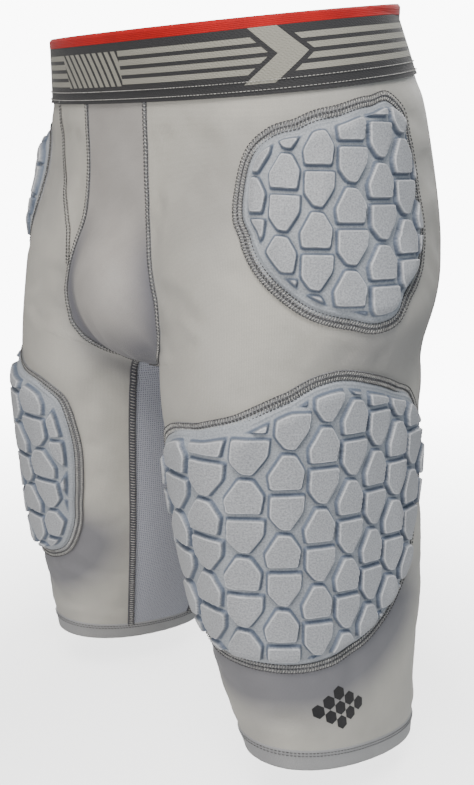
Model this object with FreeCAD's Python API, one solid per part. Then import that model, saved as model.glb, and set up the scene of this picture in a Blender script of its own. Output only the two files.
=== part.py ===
"""Padded impact shorts: stretch compression shorts with five sewn-on impact pads.

Frame: millimetres, +Z up, origin at the centre of the waist opening.  The wearer faces -Y and the
wearer's left is +X.  Every cloth piece lies on one body form, so each piece is worked out as rows
of points on that form, lifted along the form's normal to the piece's inner and outer faces.
"""
import FreeCAD
import Part
import math
import os

Vector = FreeCAD.Vector

# ---------------------------------------------------------------- driving dimensions (mm)
WAIST_TILT = 0.15          # the waist opening is lower at the front
BAND_HEIGHT = 42.0
RED_EDGE_HEIGHT = 6.0
CROTCH_HEIGHT = -236.0
CROTCH_CURVE = 0.0035      # the crotch line rises to the front and back as a parabola
CROTCH_ROUNDING = 40.0     # how widely the form's parts are rounded into each other
LEG_TOP = -110.0           # the leg forms end here, inside the pelvis
LEG_TOP_SLOPE = 0.7
LEG_TO_LEG_ROUNDING = 18.0
LEG_TO_PELVIS_ROUNDING = 28.0
POUCH_ROUNDING = 20.0
HIP_RISE = 24.0            # the pelvis form ends this much higher at the hips than at the crotch
SADDLE_WIDTH = 30.0
HEM_HEIGHT = -491.0
HEM_TILT = -0.12           # the hem is higher at the front than at the back
HEM_DEPTH = 16.0

# pelvis: heights, then half width, front depth and back depth at those heights
PELVIS_Z = [-260.0, -200.0, -130.0, -60.0, 0.0]
HALF_WIDTH = [176.0, 176.0, 165.0, 153.0, 131.0]
FRONT_DEPTH = [59.0, 84.0, 84.0, 86.0, 100.0]
BACK_DEPTH = [85.0, 105.0, 130.0, 118.0, 100.0]
PELVIS_POWER = 2.25        # a little squarer than an ellipse

# leg: heights, then the section's centre and half sizes
LEG_Z = [-520.0, -375.0, -230.0, -100.0]
LEG_X = [128.0, 104.0, 89.0, 81.0]
LEG_Y = [18.0, 7.0, -2.0, -2.0]
LEG_HALF_WIDTH = [33.0, 63.0, 72.0, 62.0]
LEG_HALF_DEPTH = [66.0, 87.0, 95.0, 85.0]
LEG_POWER = 2.15
LEG_MIDDLE_X = 90.0        # a tilted plane takes the leg's centre at the height it has here

# pouch bulge: centre and half sizes of a rounded form in front of the crotch
POUCH_CENTRE = (0.0, -58.0, -178.0)
POUCH_SIZE = (52.0, 50.0, 50.0)

# cloth and trim thicknesses
CLOTH = 1.6
LINING = 1.0
THREAD = 0.6
SEAM_WIDTH = 4.0
TAPE_WIDTH = 8.0
TAPE_TOP = 2.0             # height of the inseam tape's face over the cloth
PAD_HEIGHT = 9.5
PAD_EDGE_HEIGHT = 1.8
COVER = 1.4

# planes (height, slope x, slope y) on the left half: z = height + slope x * x + slope y * y
BAND_PLANE = (-BAND_HEIGHT - 0.4, 0.0, WAIST_TILT)
HEM_PLANE = (HEM_HEIGHT, 0.0, HEM_TILT)
HEM_TOP_PLANE = (HEM_HEIGHT + HEM_DEPTH, 0.0, HEM_TILT)
# the leg turns about the hip, and the cloth between these two planes bends
FOLD_TOP_PLANE = (CROTCH_HEIGHT + 3.2, 0.217, 0.0)
FOLD_BOTTOM_PLANE = (CROTCH_HEIGHT - 22.0, 0.28, 0.0)
SADDLE_HALF_WIDTH = 12.0   # the crotch gusset between the two leg folds
SADDLE_DROP = 6.0          # the seams meet this far above the crotch's lowest point
GUSSET_ANGLE = 141.0       # the mesh gusset's seams, either side of the leg, from the outer side

# half width of the pouch and of the seat panel at each height
POUCH_Z = [-230.0, -228.0, -223.0, -215.0, -203.0, -186.0, -168.0, -149.0, -125.0, -91.0, -50.0]
POUCH_HALF = [12.0, 22.0, 34.0, 46.0, 53.0, 54.0, 49.5, 43.0, 36.0, 33.0, 33.0]
SEAT_Z = [-230.0, -224.0, -210.0, -185.0, -150.0, -100.0, -20.0]
SEAT_HALF = [12.0, 22.0, 34.0, 46.0, 56.0, 62.0, 62.0]
FLY_Z = [-168.0, -146.0, -121.0, -87.0, -50.0]
FLY_HALF = [51.5, 54.0, 61.0, 75.0, 80.0]

# pad outlines as (across, up) from the pad's centre; each pad's chart says where that centre is
HIP_OUTLINE = [(68, -10), (66, 8), (61, 44), (58, 60), (44, 68), (22, 65), (-8, 58), (-28, 52),
               (-48, 46), (-62, 34), (-66, 12), (-64, -4), (-58, -15), (-39, -43), (-14, -59),
               (3, -63), (21, -66), (32, -63), (45, -48), (60, -32)]
THIGH_OUTLINE = [(110, 26), (108, 56), (95, 74), (72, 84), (43, 93), (21, 97), (3, 94), (-17, 84),
                 (-40, 72), (-63, 63), (-89, 56), (-104, 44), (-110, 22), (-112, -6), (-110, -34),
                 (-107, -61), (-98, -81), (-84, -90), (-63, -93), (-43, -94), (-20, -94), (1, -91),
                 (20, -85), (42, -77), (60, -67), (74, -56), (89, -39), (100, -13)]
TAIL_OUTLINE = [(44, 30), (40, 54), (22, 62), (0, 63), (-22, 62), (-40, 54), (-44, 30), (-40, 0),
                (-31, -32), (-18, -56), (0, -64), (18, -56), (31, -32), (40, 0)]
HIP_CENTRE_Z = -120.0
THIGH_CENTRE_Z = -312.0
TAIL_CENTRE_Z = -112.0
HIP_AXIS = (80.0, 4.0)     # the hip pad's chart turns about this upright line
HIP_RADIUS = 88.0
HIP_ANGLE = -25.4
THIGH_RADIUS = 82.0
THIGH_ANGLE = -36.0

PRINT_ANGLE = -34.0
PRINT_CENTRE_Z = -440.0
PRINT_OUTLINE = [(20, 0), (14, 14), (0, 18), (-14, 14), (-20, 0), (-14, -14), (0, -18), (14, -14)]

PAD_STEPS = [math.sin(math.pi / 2 * i / 6) for i in range(-6, 7)]
FOAM_SHARE = 0.86          # the foam's rim stands in from the cover's rim
FOAM_GAP = 1.3             # room between the foam and its cover
SEAM_LIFT = 0.45           # threads and foams lie this far above the cloth
TAPE_LIFT = 1.4            # tapes and pad seams lie over two layers of cloth
SEAM_GAP = 0.4             # degrees round the leg between two panels sewn to each other
BISECTIONS = 24


# ---------------------------------------------------------------- body form
def curve_value(at, places, values):
    """Smooth value at a place, from values at rising places, held level beyond the ends."""
    if at <= places[0]:
        return values[0]
    if at >= places[-1]:
        return values[-1]
    last = len(places) - 1
    slopes = [(values[i + 1] - values[i]) / (places[i + 1] - places[i]) for i in range(last)]
    tangents = [slopes[0]] + [0.0] * (last - 1) + [slopes[-1]]
    for i in range(1, last):
        if slopes[i - 1] * slopes[i] > 0:
            tangents[i] = 2 * slopes[i - 1] * slopes[i] / (slopes[i - 1] + slopes[i])
    i = max(k for k in range(last) if places[k] <= at)
    span = places[i + 1] - places[i]
    t = (at - places[i]) / span
    rise = values[i + 1] - values[i]
    cubic = values[i] + rise * (3 * t * t - 2 * t ** 3)
    return cubic + span * (tangents[i] * t * (1 - t) ** 2 - tangents[i + 1] * t * t * (1 - t))


def smooth_min(a, b, width):
    """The smaller of two distances, rounded where they are within a width of each other."""
    share = min(1.0, max(0.0, 0.5 + 0.5 * (b - a) / width))
    return b * (1 - share) + a * share - width * share * (1 - share)


def oval(x, y, half_x, half_y, power):
    """Signed distance, near enough, from an oval about the origin."""
    reach = (abs(x / half_x) ** power + abs(y / half_y) ** power) ** (1 / power)
    return (reach - 1) * 0.5 * (half_x + half_y)


def form(x, y, z):
    """Below zero inside the body that the shorts are shaped to, and above zero outside."""
    depth = curve_value(z, PELVIS_Z, FRONT_DEPTH if y < 0 else BACK_DEPTH)
    pelvis = oval(x, y, curve_value(z, PELVIS_Z, HALF_WIDTH), depth, PELVIS_POWER)
    floor = CROTCH_HEIGHT + 2.0 + CROTCH_CURVE * y * y
    floor += HIP_RISE * x * x / (x * x + SADDLE_WIDTH ** 2)
    pelvis = -smooth_min(-pelvis, z - floor, CROTCH_ROUNDING)
    leg_x = curve_value(z, LEG_Z, LEG_X)
    leg_y = curve_value(z, LEG_Z, LEG_Y)
    half_x = curve_value(z, LEG_Z, LEG_HALF_WIDTH)
    half_y = curve_value(z, LEG_Z, LEG_HALF_DEPTH)
    near, far = [-smooth_min(-oval(x - side * leg_x, y - leg_y, half_x, half_y, LEG_POWER),
                             (LEG_TOP - z) * LEG_TOP_SLOPE, CROTCH_ROUNDING) for side in (1.0, -1.0)]
    trunk = smooth_min(pelvis, smooth_min(near, far, LEG_TO_LEG_ROUNDING), LEG_TO_PELVIS_ROUNDING)
    bulge = [(v - c) / s for v, c, s in zip((x, y, z), POUCH_CENTRE, POUCH_SIZE)]
    pouch = (math.sqrt(sum(b * b for b in bulge)) - 1) * POUCH_SIZE[1]
    return smooth_min(trunk, pouch, POUCH_ROUNDING)


def normal(point):
    """Outward unit normal of the form."""
    step = 0.5
    slope = Vector(form(point.x + step, point.y, point.z) - form(point.x - step, point.y, point.z),
                   form(point.x, point.y + step, point.z) - form(point.x, point.y - step, point.z),
                   form(point.x, point.y, point.z + step) - form(point.x, point.y, point.z - step))
    return slope.normalize()


def skin(path, reach):
    """Where a path that starts inside the form leaves it; path(t) gives the point at t."""
    low, high = 0.0, reach
    for _ in range(BISECTIONS):
        middle = 0.5 * (low + high)
        point = path(middle)
        if form(point.x, point.y, point.z) < 0:
            low = middle
        else:
            high = middle
    return path(low)


def settle(point):
    """The point of the form nearest to a point that is already close to it."""
    for _ in range(6):
        outward = normal(point)
        ahead = point + outward * 0.5
        gain = (form(ahead.x, ahead.y, ahead.z) - form(point.x, point.y, point.z)) / 0.5
        point = point - outward * (form(point.x, point.y, point.z) / max(gain, 0.3))
    return point


def around_leg(angle, plane):
    """Point of the left half at an angle round the leg, in the plane (height, slope x, slope y)."""
    height, slope_x, slope_y = plane
    middle_z = height + LEG_MIDDLE_X * slope_x
    centre = (curve_value(middle_z, LEG_Z, LEG_X), curve_value(middle_z, LEG_Z, LEG_Y))
    turn = math.radians(angle)

    def path(t):
        x = centre[0] + t * math.cos(turn)
        y = centre[1] + t * math.sin(turn)
        return Vector(x, y, height + slope_x * x + slope_y * y)

    reach = 200.0
    if math.cos(turn) < -0.01:
        reach = min(reach, -centre[0] / math.cos(turn))
    return skin(path, reach)


def around_waist(angle, height):
    """Point at an angle round the waist, at a height measured from the tilted waist opening."""
    turn = math.radians(angle)
    return skin(lambda t: Vector(t * math.cos(turn), t * math.sin(turn),
                                 height + WAIST_TILT * t * math.sin(turn)), 260.0)


def front_or_back(x, z, way, tilt=0.0):
    """Point of the front (way -1) or the back (way +1) at a given x and height."""
    return skin(lambda t: Vector(x, way * t, z + tilt * way * t), 200.0)


def underside(x, y):
    """Point of the crotch arch straight below a given x and y."""
    return skin(lambda t: Vector(x, y, CROTCH_HEIGHT + 40.0 - t), 80.0)


def leg_angle(point, plane):
    """Angle of a point about the leg's centre, as around_leg measures it."""
    middle_z = plane[0] + LEG_MIDDLE_X * plane[1]
    return math.degrees(math.atan2(point.y - curve_value(middle_z, LEG_Z, LEG_Y),
                                   point.x - curve_value(middle_z, LEG_Z, LEG_X)))


# ---------------------------------------------------------------- solids from rows of points
def lifted(rows, height):
    """Rows of points moved out along the form's normal by a height or a height per point."""
    result = []
    for i, row in enumerate(rows):
        rise = [height(i, j) if callable(height) else height for j in range(len(row))]
        result.append([point + normal(point) * rise[j] for j, point in enumerate(row)])
    return result


def face_through(points):
    surface = Part.BSplineSurface()
    surface.interpolate(points)
    return surface.toShape()


def closed_solid(faces):
    shell = Part.makeShell(faces)
    shell.sewShape()
    solid = Part.makeSolid(shell)
    if solid.Volume < 0:
        solid.reverse()
    return solid


def patch(rows, low, high):
    """A sheet between two heights above the form, over an open grid of points."""
    return sheet_between(lifted(rows, low), lifted(rows, high))


def sheet_between(under, over):
    bottom = face_through(under)
    top = face_through(over)
    sides = [Part.makeRuledSurface(a, b) for a, b in zip(bottom.Edges, top.Edges)]
    return closed_solid([bottom, top] + sides)


def loop_wire(points):
    spline = Part.BSplineCurve()
    spline.interpolate(points, PeriodicFlag=True)
    return Part.Wire([spline.toShape()])


def hoop(loops, low, high):
    """A closed band between two heights above the form, through closed rows of points."""
    inner = [loop_wire(row) for row in lifted(loops, low)]
    outer = [loop_wire(row) for row in lifted(loops, high)]
    faces = Part.makeLoft(inner, False, False).Faces + Part.makeLoft(outer, False, False).Faces
    for end in (0, -1):
        faces += Part.makeRuledSurface(inner[end], outer[end]).Faces
    return closed_solid(faces)


def mirrored(shape):
    return shape.mirror(Vector(0, 0, 0), Vector(1, 0, 0))


def spread(first, last, count):
    return [first + (last - first) * i / (count - 1) for i in range(count)]


def between(first, last, share):
    return tuple(a + (b - a) * share for a, b in zip(first, last))


# ---------------------------------------------------------------- waistband
def waist_ring(top, bottom, low, high, rows=3):
    angles = [360.0 * i / 48 for i in range(48)]
    loops = [[around_waist(a, z) for a in angles] for z in spread(top, bottom, rows)]
    return hoop(loops, low, high)


def waistband_elastic():
    return waist_ring(-RED_EDGE_HEIGHT - 0.1, -BAND_HEIGHT, -1.4, 1.0)


def waistband_red_edge():
    return waist_ring(0.0, -RED_EDGE_HEIGHT, -1.4, 1.2)


def waistband_stitching():
    """Two rows of thread that hold the band to the cloth."""
    rows = [waist_ring(z + 0.6, z - 0.6, 1.1, 1.1 + THREAD, rows=2)
            for z in (-BAND_HEIGHT + 3.0, -BAND_HEIGHT + 7.0)]
    return Part.makeCompound(rows)


# ---------------------------------------------------------------- front, seat and crotch
def pouch_half(z):
    return curve_value(z, POUCH_Z, POUCH_HALF)


def seat_half(z):
    return curve_value(z, SEAT_Z, SEAT_HALF)


def seam_planes():
    """Planes from under the band to where the seams meet, closer together at both ends."""
    low = (CROTCH_HEIGHT + SADDLE_DROP, 0.0, 0.0)
    return [between(BAND_PLANE, low, 0.5 - 0.5 * math.cos(math.pi * i / 17.0)) for i in range(18)]


def seam_point(plane, way, half_of):
    """Where a seam of the pouch (way -1) or the seat (way +1) crosses a plane, on the left side."""
    z = plane[0]
    for _ in range(8):
        x = max(half_of(z), SADDLE_HALF_WIDTH)
        point = front_or_back(x, plane[0] + plane[1] * x, way, plane[2])
        z = point.z
    return point


def centre_rows(way, half_of):
    rows = []
    for plane in seam_planes():
        half = seam_point(plane, way, half_of).x
        rows.append([front_or_back(half * s, plane[0], way, plane[2]) for s in spread(-1.0, 1.0, 9)])
    return rows


def pouch_outer():
    return patch(centre_rows(-1.0, pouch_half), -CLOTH, 0.0)


def pouch_lining():
    return patch(centre_rows(-1.0, pouch_half), -CLOTH - SEAM_LIFT - LINING, -CLOTH - SEAM_LIFT)


def seat_panel():
    return patch(centre_rows(1.0, seat_half), -CLOTH, 0.0)


def fly_facing():
    """Folded strip over the right front panel, between the fly seam and the pouch seam."""
    rows = []
    for z in spread(BAND_PLANE[0] - 13.0, -160.0, 8):
        outer = curve_value(z, FLY_Z, FLY_HALF)
        inner = pouch_half(z) + 2.5
        rows.append([front_or_back(-x, z, -1.0) for x in spread(outer, inner, 5)])
    return patch(rows, 0.2, 0.2 + LINING)


def saddle_corners():
    """Front and back y of the point where the pouch or seat meets the crotch gusset."""
    low = CROTCH_HEIGHT + SADDLE_DROP
    return [front_or_back(SADDLE_HALF_WIDTH, low, way).y for way in (-1.0, 1.0)]


def crotch_gusset():
    front, back = saddle_corners()
    rows = [[underside(x, y) for y in spread(front + 1.0, back - 1.0, 11)]
            for x in spread(-SADDLE_HALF_WIDTH + 0.4, SADDLE_HALF_WIDTH - 0.4, 5)]
    return patch(rows, -CLOTH, 0.0)


def seam_strip(points, width, low, high):
    """A flat strip of thread or tape along a line of points on the form."""
    rows = []
    for i, point in enumerate(points):
        ahead = points[min(i + 1, len(points) - 1)] - points[max(i - 1, 0)]
        across = ahead.cross(normal(point)).normalize()
        rows.append([settle(point + across * (width * s)) for s in (-0.5, 0.0, 0.5)])
    return patch(rows, low, high)


def centre_seams(way, half_of, low):
    line = [seam_point(plane, way, half_of) for plane in seam_planes()[:-1]]
    seam = seam_strip(line, SEAM_WIDTH, low, low + THREAD)
    return Part.makeCompound([seam, mirrored(seam)])


def pouch_stitching():
    return centre_seams(-1.0, pouch_half, SEAM_LIFT)


def seat_stitching():
    return centre_seams(1.0, seat_half, SEAM_LIFT + 0.3)


def fly_stitching():
    line = [front_or_back(-curve_value(z, FLY_Z, FLY_HALF) + 3.0, z, -1.0)
            for z in spread(BAND_PLANE[0] - 14.0, -140.0, 9)]
    return seam_strip(line, SEAM_WIDTH, 0.4 + LINING, 0.4 + LINING + THREAD)


def care_label():
    """Blank label inside the back of the waist."""
    rows = [[front_or_back(x, z, 1.0, WAIST_TILT) for x in spread(-16.0, 16.0, 4)]
            for z in spread(-44.0, -84.0, 4)]
    return patch(rows, -CLOTH - LINING - 1.5, -CLOTH - LINING - 1.0)


# ---------------------------------------------------------------- side panels and legs
def row_between(plane, first_angle, last_angle, count=25):
    return [around_leg(a, plane) for a in spread(first_angle, last_angle, count)]


def half_row(plane):
    """A row from the pouch seam, round the outer side, to the seat seam."""
    ends = [seam_point(plane, -1.0, pouch_half), seam_point(plane, 1.0, seat_half)]
    first, last = [leg_angle(end, plane) for end in ends]
    return row_between(plane, first + SEAM_GAP, last - SEAM_GAP)


def hip_panel():
    shares = [0.5 - 0.5 * math.cos(math.pi * i / 17.0) for i in range(18)]
    return patch([half_row(between(BAND_PLANE, FOLD_TOP_PLANE, s)) for s in shares], -CLOTH, 0.0)


def hip_fold():
    """The stretch of side panel that bends when the leg swings."""
    top = half_row(between(BAND_PLANE, FOLD_TOP_PLANE, 1.0))
    low = row_between(FOLD_BOTTOM_PLANE, -GUSSET_ANGLE + SEAM_GAP, GUSSET_ANGLE - SEAM_GAP)
    rows = [[settle(a + (b - a) * s) for a, b in zip(top, low)] for s in (0.06, 0.35, 0.65, 0.94)]
    return patch(rows, -CLOTH, 0.0)


def gusset_fold():
    """The stretch of mesh gusset between the crotch and the leg."""
    front, back = saddle_corners()
    top = [underside(SADDLE_HALF_WIDTH + 0.6, y) for y in spread(front + 1.0, back - 1.0, 11)]
    low = row_between(FOLD_BOTTOM_PLANE, -GUSSET_ANGLE - SEAM_GAP, GUSSET_ANGLE - 360.0 + SEAM_GAP, 11)
    rows = [[settle(a + (b - a) * s) for a, b in zip(top, low)] for s in (0.03, 0.35, 0.65, 0.9)]
    return patch(rows, -CLOTH, 0.0)


def leg_rows(first_angle, last_angle, columns):
    shares = spread(0.0, 1.0, 9)
    top = FOLD_BOTTOM_PLANE
    low = (HEM_TOP_PLANE[0] + 0.3, HEM_TOP_PLANE[1], HEM_TOP_PLANE[2])
    return [row_between(between(top, low, s), first_angle, last_angle, columns) for s in shares]


def leg_panel():
    return patch(leg_rows(-GUSSET_ANGLE, GUSSET_ANGLE, 25), -CLOTH, 0.0)


def leg_gusset():
    return patch(leg_rows(-GUSSET_ANGLE - SEAM_GAP, GUSSET_ANGLE - 360.0 + SEAM_GAP, 11), -CLOTH, 0.0)


def leg_ring(top, bottom, low, high, rows=3):
    angles = [360.0 * i / 36 for i in range(36)]
    loops = [[around_leg(a, between(top, bottom, s)) for a in angles]
             for s in spread(0.0, 1.0, rows)]
    return hoop(loops, low, high)


def hem():
    """The leg's end, turned in and doubled."""
    return leg_ring(HEM_TOP_PLANE, HEM_PLANE, -CLOTH - 0.4, 0.3)


def hem_stitching():
    top = (HEM_TOP_PLANE[0] - 1.0, 0.0, HEM_TILT)
    bottom = (HEM_TOP_PLANE[0] - 4.0, 0.0, HEM_TILT)
    return leg_ring(top, bottom, 0.4, 0.4 + THREAD, rows=2)


def inseam_line(angle):
    top = FOLD_BOTTOM_PLANE
    low = (HEM_TOP_PLANE[0] + 0.6, 0.0, HEM_TILT)
    return [around_leg(angle, between(top, low, s)) for s in spread(0.02, 1.0, 10)]


def inseam_tape_front():
    return seam_strip(inseam_line(-GUSSET_ANGLE), TAPE_WIDTH, TAPE_LIFT, TAPE_TOP)


def inseam_tape_back():
    return seam_strip(inseam_line(GUSSET_ANGLE), TAPE_WIDTH, TAPE_LIFT, TAPE_TOP)


def inseam_stitching():
    low = TAPE_TOP + 0.3
    lines = [seam_strip(inseam_line(a), SEAM_WIDTH, low, low + THREAD)
             for a in (-GUSSET_ANGLE, GUSSET_ANGLE)]
    return Part.makeCompound(lines)


# ---------------------------------------------------------------- pads
def hip_chart(across, up):
    turn = math.radians(HIP_ANGLE) + across / HIP_RADIUS
    return skin(lambda t: Vector(HIP_AXIS[0] + t * math.cos(turn), HIP_AXIS[1] + t * math.sin(turn),
                                 HIP_CENTRE_Z + up), 160.0)


def leg_chart(across, up, angle, centre_z):
    turn = math.radians(angle) + across / THIGH_RADIUS
    return around_leg(math.degrees(turn), (centre_z + up, 0.0, 0.0))


def thigh_chart(across, up):
    return leg_chart(across, up, THIGH_ANGLE, THIGH_CENTRE_Z)


def print_chart(across, up):
    return leg_chart(across, up, PRINT_ANGLE, PRINT_CENTRE_Z)


def tail_chart(across, up):
    return front_or_back(across, TAIL_CENTRE_Z + up, 1.0)


def outline_reach(outline, turn):
    """Distance from a pad's centre to its outline in a direction."""
    polar = sorted((math.atan2(y, x), math.hypot(x, y)) for x, y in outline)
    angles = [a - 2 * math.pi for a, _ in polar] + [a for a, _ in polar]
    angles += [a + 2 * math.pi for a, _ in polar]
    reaches = [r for _, r in polar] * 3
    return curve_value(math.atan2(math.sin(turn), math.cos(turn)), angles, reaches)


def disc_point(a, b):
    """Maps a square's point to the unit disc, smoothly right up to the square's corners."""
    return a * math.sqrt(1 - b * b / 2), b * math.sqrt(1 - a * a / 2)


def pad_rows(outline, chart, inset, share=1.0):
    """Grid over a pad whose rim follows the outline, inset by a distance and scaled by a share."""
    wide = max(x for x, _ in outline)
    tall = max(y for _, y in outline)

    def place(a, b):
        across, up = disc_point(a, b)
        radius = math.hypot(across, up) * share
        turn = math.atan2(up * tall, across * wide)
        middle = wide * tall / math.hypot(tall * math.cos(turn), wide * math.sin(turn))
        edge = outline_reach(outline, turn) - inset
        reach = radius * (middle + (edge - middle) * radius * radius)
        return chart(reach * math.cos(turn), reach * math.sin(turn))

    return [[place(a, b) for a in PAD_STEPS] for b in PAD_STEPS]


def dome(i, j, share=1.0):
    """Height of a pad's cover: low at the seam, rising over a soft edge to the flat top."""
    radius = math.hypot(*disc_point(PAD_STEPS[i], PAD_STEPS[j])) * share
    rise = min(1.0, max(0.0, (1.0 - radius) / 0.2))
    return PAD_EDGE_HEIGHT + (PAD_HEIGHT - PAD_EDGE_HEIGHT) * (3 * rise ** 2 - 2 * rise ** 3)


def pad_cover(outline, chart):
    rows = pad_rows(outline, chart, 4.5)
    return sheet_between(lifted(rows, lambda i, j: dome(i, j) - COVER), lifted(rows, dome))


def pad_foam(outline, chart):
    rows = pad_rows(outline, chart, 4.5, FOAM_SHARE)
    top = lifted(rows, lambda i, j: dome(i, j, FOAM_SHARE) - COVER - FOAM_GAP)
    return sheet_between(lifted(rows, SEAM_LIFT), top)


def pad_backing(outline, chart):
    return patch(pad_rows(outline, chart, 5.0), -CLOTH - SEAM_LIFT - LINING, -CLOTH - SEAM_LIFT)


def pad_stitching(outline, chart):
    """A closed line of flat seam thread round a pad."""
    turns = [2 * math.pi * i / 48 for i in range(48)]
    loops = []
    for inset in (0.2, 3.8):
        reaches = [outline_reach(outline, t) - inset for t in turns]
        loops.append([chart(r * math.cos(t), r * math.sin(t)) for r, t in zip(reaches, turns)])
    return hoop(loops, TAPE_LIFT, TAPE_LIFT + THREAD)


def leg_print():
    return patch(pad_rows(PRINT_OUTLINE, print_chart, 0.0), 0.15, 0.4)


# ---------------------------------------------------------------- all the pieces
CENTRE_PIECES = {
    "waistband_elastic": waistband_elastic,
    "waistband_red_edge": waistband_red_edge,
    "waistband_stitching": waistband_stitching,
    "pouch_outer": pouch_outer,
    "pouch_lining": pouch_lining,
    "pouch_stitching": pouch_stitching,
    "fly_facing": fly_facing,
    "fly_stitching": fly_stitching,
    "seat_panel": seat_panel,
    "seat_stitching": seat_stitching,
    "crotch_gusset": crotch_gusset,
    "care_label": care_label,
}
SIDE_PIECES = {
    "hip_panel": hip_panel,
    "hip_fold": hip_fold,
    "gusset_fold": gusset_fold,
    "leg_panel": leg_panel,
    "leg_gusset": leg_gusset,
    "leg_hem": hem,
    "hem_stitching": hem_stitching,
    "inseam_tape_front": inseam_tape_front,
    "inseam_tape_back": inseam_tape_back,
    "inseam_stitching": inseam_stitching,
}
PAD_PARTS = {"cover": pad_cover, "foam": pad_foam, "backing": pad_backing, "stitching": pad_stitching}
SIDE_PADS = {"hip_pad": (HIP_OUTLINE, hip_chart), "thigh_pad": (THIGH_OUTLINE, thigh_chart)}


def build():
    shapes = {name: make() for name, make in CENTRE_PIECES.items()}
    for part, make in PAD_PARTS.items():
        shapes["tailbone_pad_" + part] = make(TAIL_OUTLINE, tail_chart)
    halves = {name: make() for name, make in SIDE_PIECES.items()}
    for pad, (outline, chart) in SIDE_PADS.items():
        for part, make in PAD_PARTS.items():
            halves[pad + "_" + part] = make(outline, chart)
    for name, shape in halves.items():
        shapes[name + "_left"] = shape
        shapes[name + "_right"] = mirrored(shape)
    shapes["leg_print_left"] = leg_print()
    return shapes


def main():
    os.makedirs("parts", exist_ok=True)
    for name, shape in build().items():
        shape.exportStep("parts/" + name + ".step")


main()
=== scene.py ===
"""Looks of the padded impact shorts: knit panels, moulded pads, seams, waistband, light and camera.

Lengths are worked out in millimetres in the CAD frame (+Z up, the wearer faces -Y, the wearer's left is
+X) and turned into metres when a mesh is made.  Every cloth piece is a grid of points on one body form,
lifted along the form's normal, so pieces lie on each other as sewn cloth does.
"""
import bpy
import math
import numpy as np
from mathutils import Matrix, Vector
from mathutils.kdtree import KDTree


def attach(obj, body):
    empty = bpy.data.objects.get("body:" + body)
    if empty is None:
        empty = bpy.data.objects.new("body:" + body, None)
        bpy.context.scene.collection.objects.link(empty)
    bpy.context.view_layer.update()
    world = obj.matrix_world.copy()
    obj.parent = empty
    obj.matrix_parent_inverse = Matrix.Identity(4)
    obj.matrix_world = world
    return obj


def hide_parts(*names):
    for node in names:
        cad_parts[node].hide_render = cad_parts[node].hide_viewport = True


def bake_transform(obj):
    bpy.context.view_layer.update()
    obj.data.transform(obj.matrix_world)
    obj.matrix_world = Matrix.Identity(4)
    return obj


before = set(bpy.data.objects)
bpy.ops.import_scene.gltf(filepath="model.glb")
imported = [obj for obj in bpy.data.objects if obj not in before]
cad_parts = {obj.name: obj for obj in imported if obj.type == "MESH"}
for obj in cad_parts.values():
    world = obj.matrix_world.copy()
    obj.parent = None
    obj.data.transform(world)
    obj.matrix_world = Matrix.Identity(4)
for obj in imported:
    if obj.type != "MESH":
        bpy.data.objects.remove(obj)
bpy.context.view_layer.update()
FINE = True

# ---------------------------------------------------------------- sizes shared with the CAD part (mm)
WAIST_TILT = 0.15
BAND_HEIGHT = 42.0
RED_EDGE_HEIGHT = 6.0
CROTCH_HEIGHT = -236.0
CROTCH_CURVE = 0.0035
CROTCH_ROUNDING = 40.0
HIP_RISE = 24.0
SADDLE_WIDTH = 30.0
LEG_TOP = -110.0
LEG_TOP_SLOPE = 0.7
LEG_TO_LEG_ROUNDING = 18.0
LEG_TO_PELVIS_ROUNDING = 28.0
POUCH_ROUNDING = 20.0
HEM_HEIGHT = -491.0
HEM_TILT = -0.12
HEM_DEPTH = 16.0
PELVIS_Z = [-260.0, -200.0, -130.0, -60.0, 0.0]
HALF_WIDTH = [176.0, 176.0, 165.0, 153.0, 131.0]
FRONT_DEPTH = [59.0, 84.0, 84.0, 86.0, 100.0]
BACK_DEPTH = [85.0, 105.0, 130.0, 118.0, 100.0]
PELVIS_POWER = 2.25
LEG_Z = [-520.0, -375.0, -230.0, -100.0]
LEG_X = [128.0, 104.0, 89.0, 81.0]
LEG_Y = [18.0, 7.0, -2.0, -2.0]
LEG_HALF_WIDTH = [33.0, 63.0, 72.0, 62.0]
LEG_HALF_DEPTH = [66.0, 87.0, 95.0, 85.0]
LEG_POWER = 2.15
LEG_MIDDLE_X = 90.0
POUCH_CENTRE = (0.0, -58.0, -178.0)
POUCH_SIZE = (52.0, 50.0, 50.0)
BAND_PLANE = (-BAND_HEIGHT - 0.4, 0.0, WAIST_TILT)
HEM_PLANE = (HEM_HEIGHT, 0.0, HEM_TILT)
HEM_TOP_PLANE = (HEM_HEIGHT + HEM_DEPTH, 0.0, HEM_TILT)
FOLD_TOP_PLANE = (CROTCH_HEIGHT + 3.2, 0.217, 0.0)
FOLD_BOTTOM_PLANE = (CROTCH_HEIGHT - 22.0, 0.28, 0.0)
SADDLE_HALF_WIDTH = 8.0
SADDLE_DROP = 6.0
GUSSET_ANGLE = 141.0
POUCH_Z = [-230.0, -228.0, -223.0, -215.0, -203.0, -186.0, -168.0, -149.0, -125.0, -91.0, -50.0]
POUCH_HALF = [8.0, 21.0, 34.0, 46.0, 53.0, 54.0, 49.5, 43.0, 36.0, 33.0, 33.0]
SEAT_Z = [-230.0, -224.0, -210.0, -185.0, -150.0, -100.0, -20.0]
SEAT_HALF = [8.0, 20.0, 34.0, 46.0, 56.0, 62.0, 62.0]
FLY_Z = [-168.0, -146.0, -121.0, -87.0, -50.0]
FLY_HALF = [51.5, 54.0, 61.0, 75.0, 80.0]
HIP_OUTLINE = [(68, -10), (66, 8), (61, 44), (58, 60), (44, 68), (22, 65), (-8, 58), (-28, 52),
               (-48, 46), (-62, 34), (-66, 12), (-64, -4), (-58, -15), (-39, -43), (-14, -59),
               (3, -63), (21, -66), (32, -63), (45, -48), (60, -32)]
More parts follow.
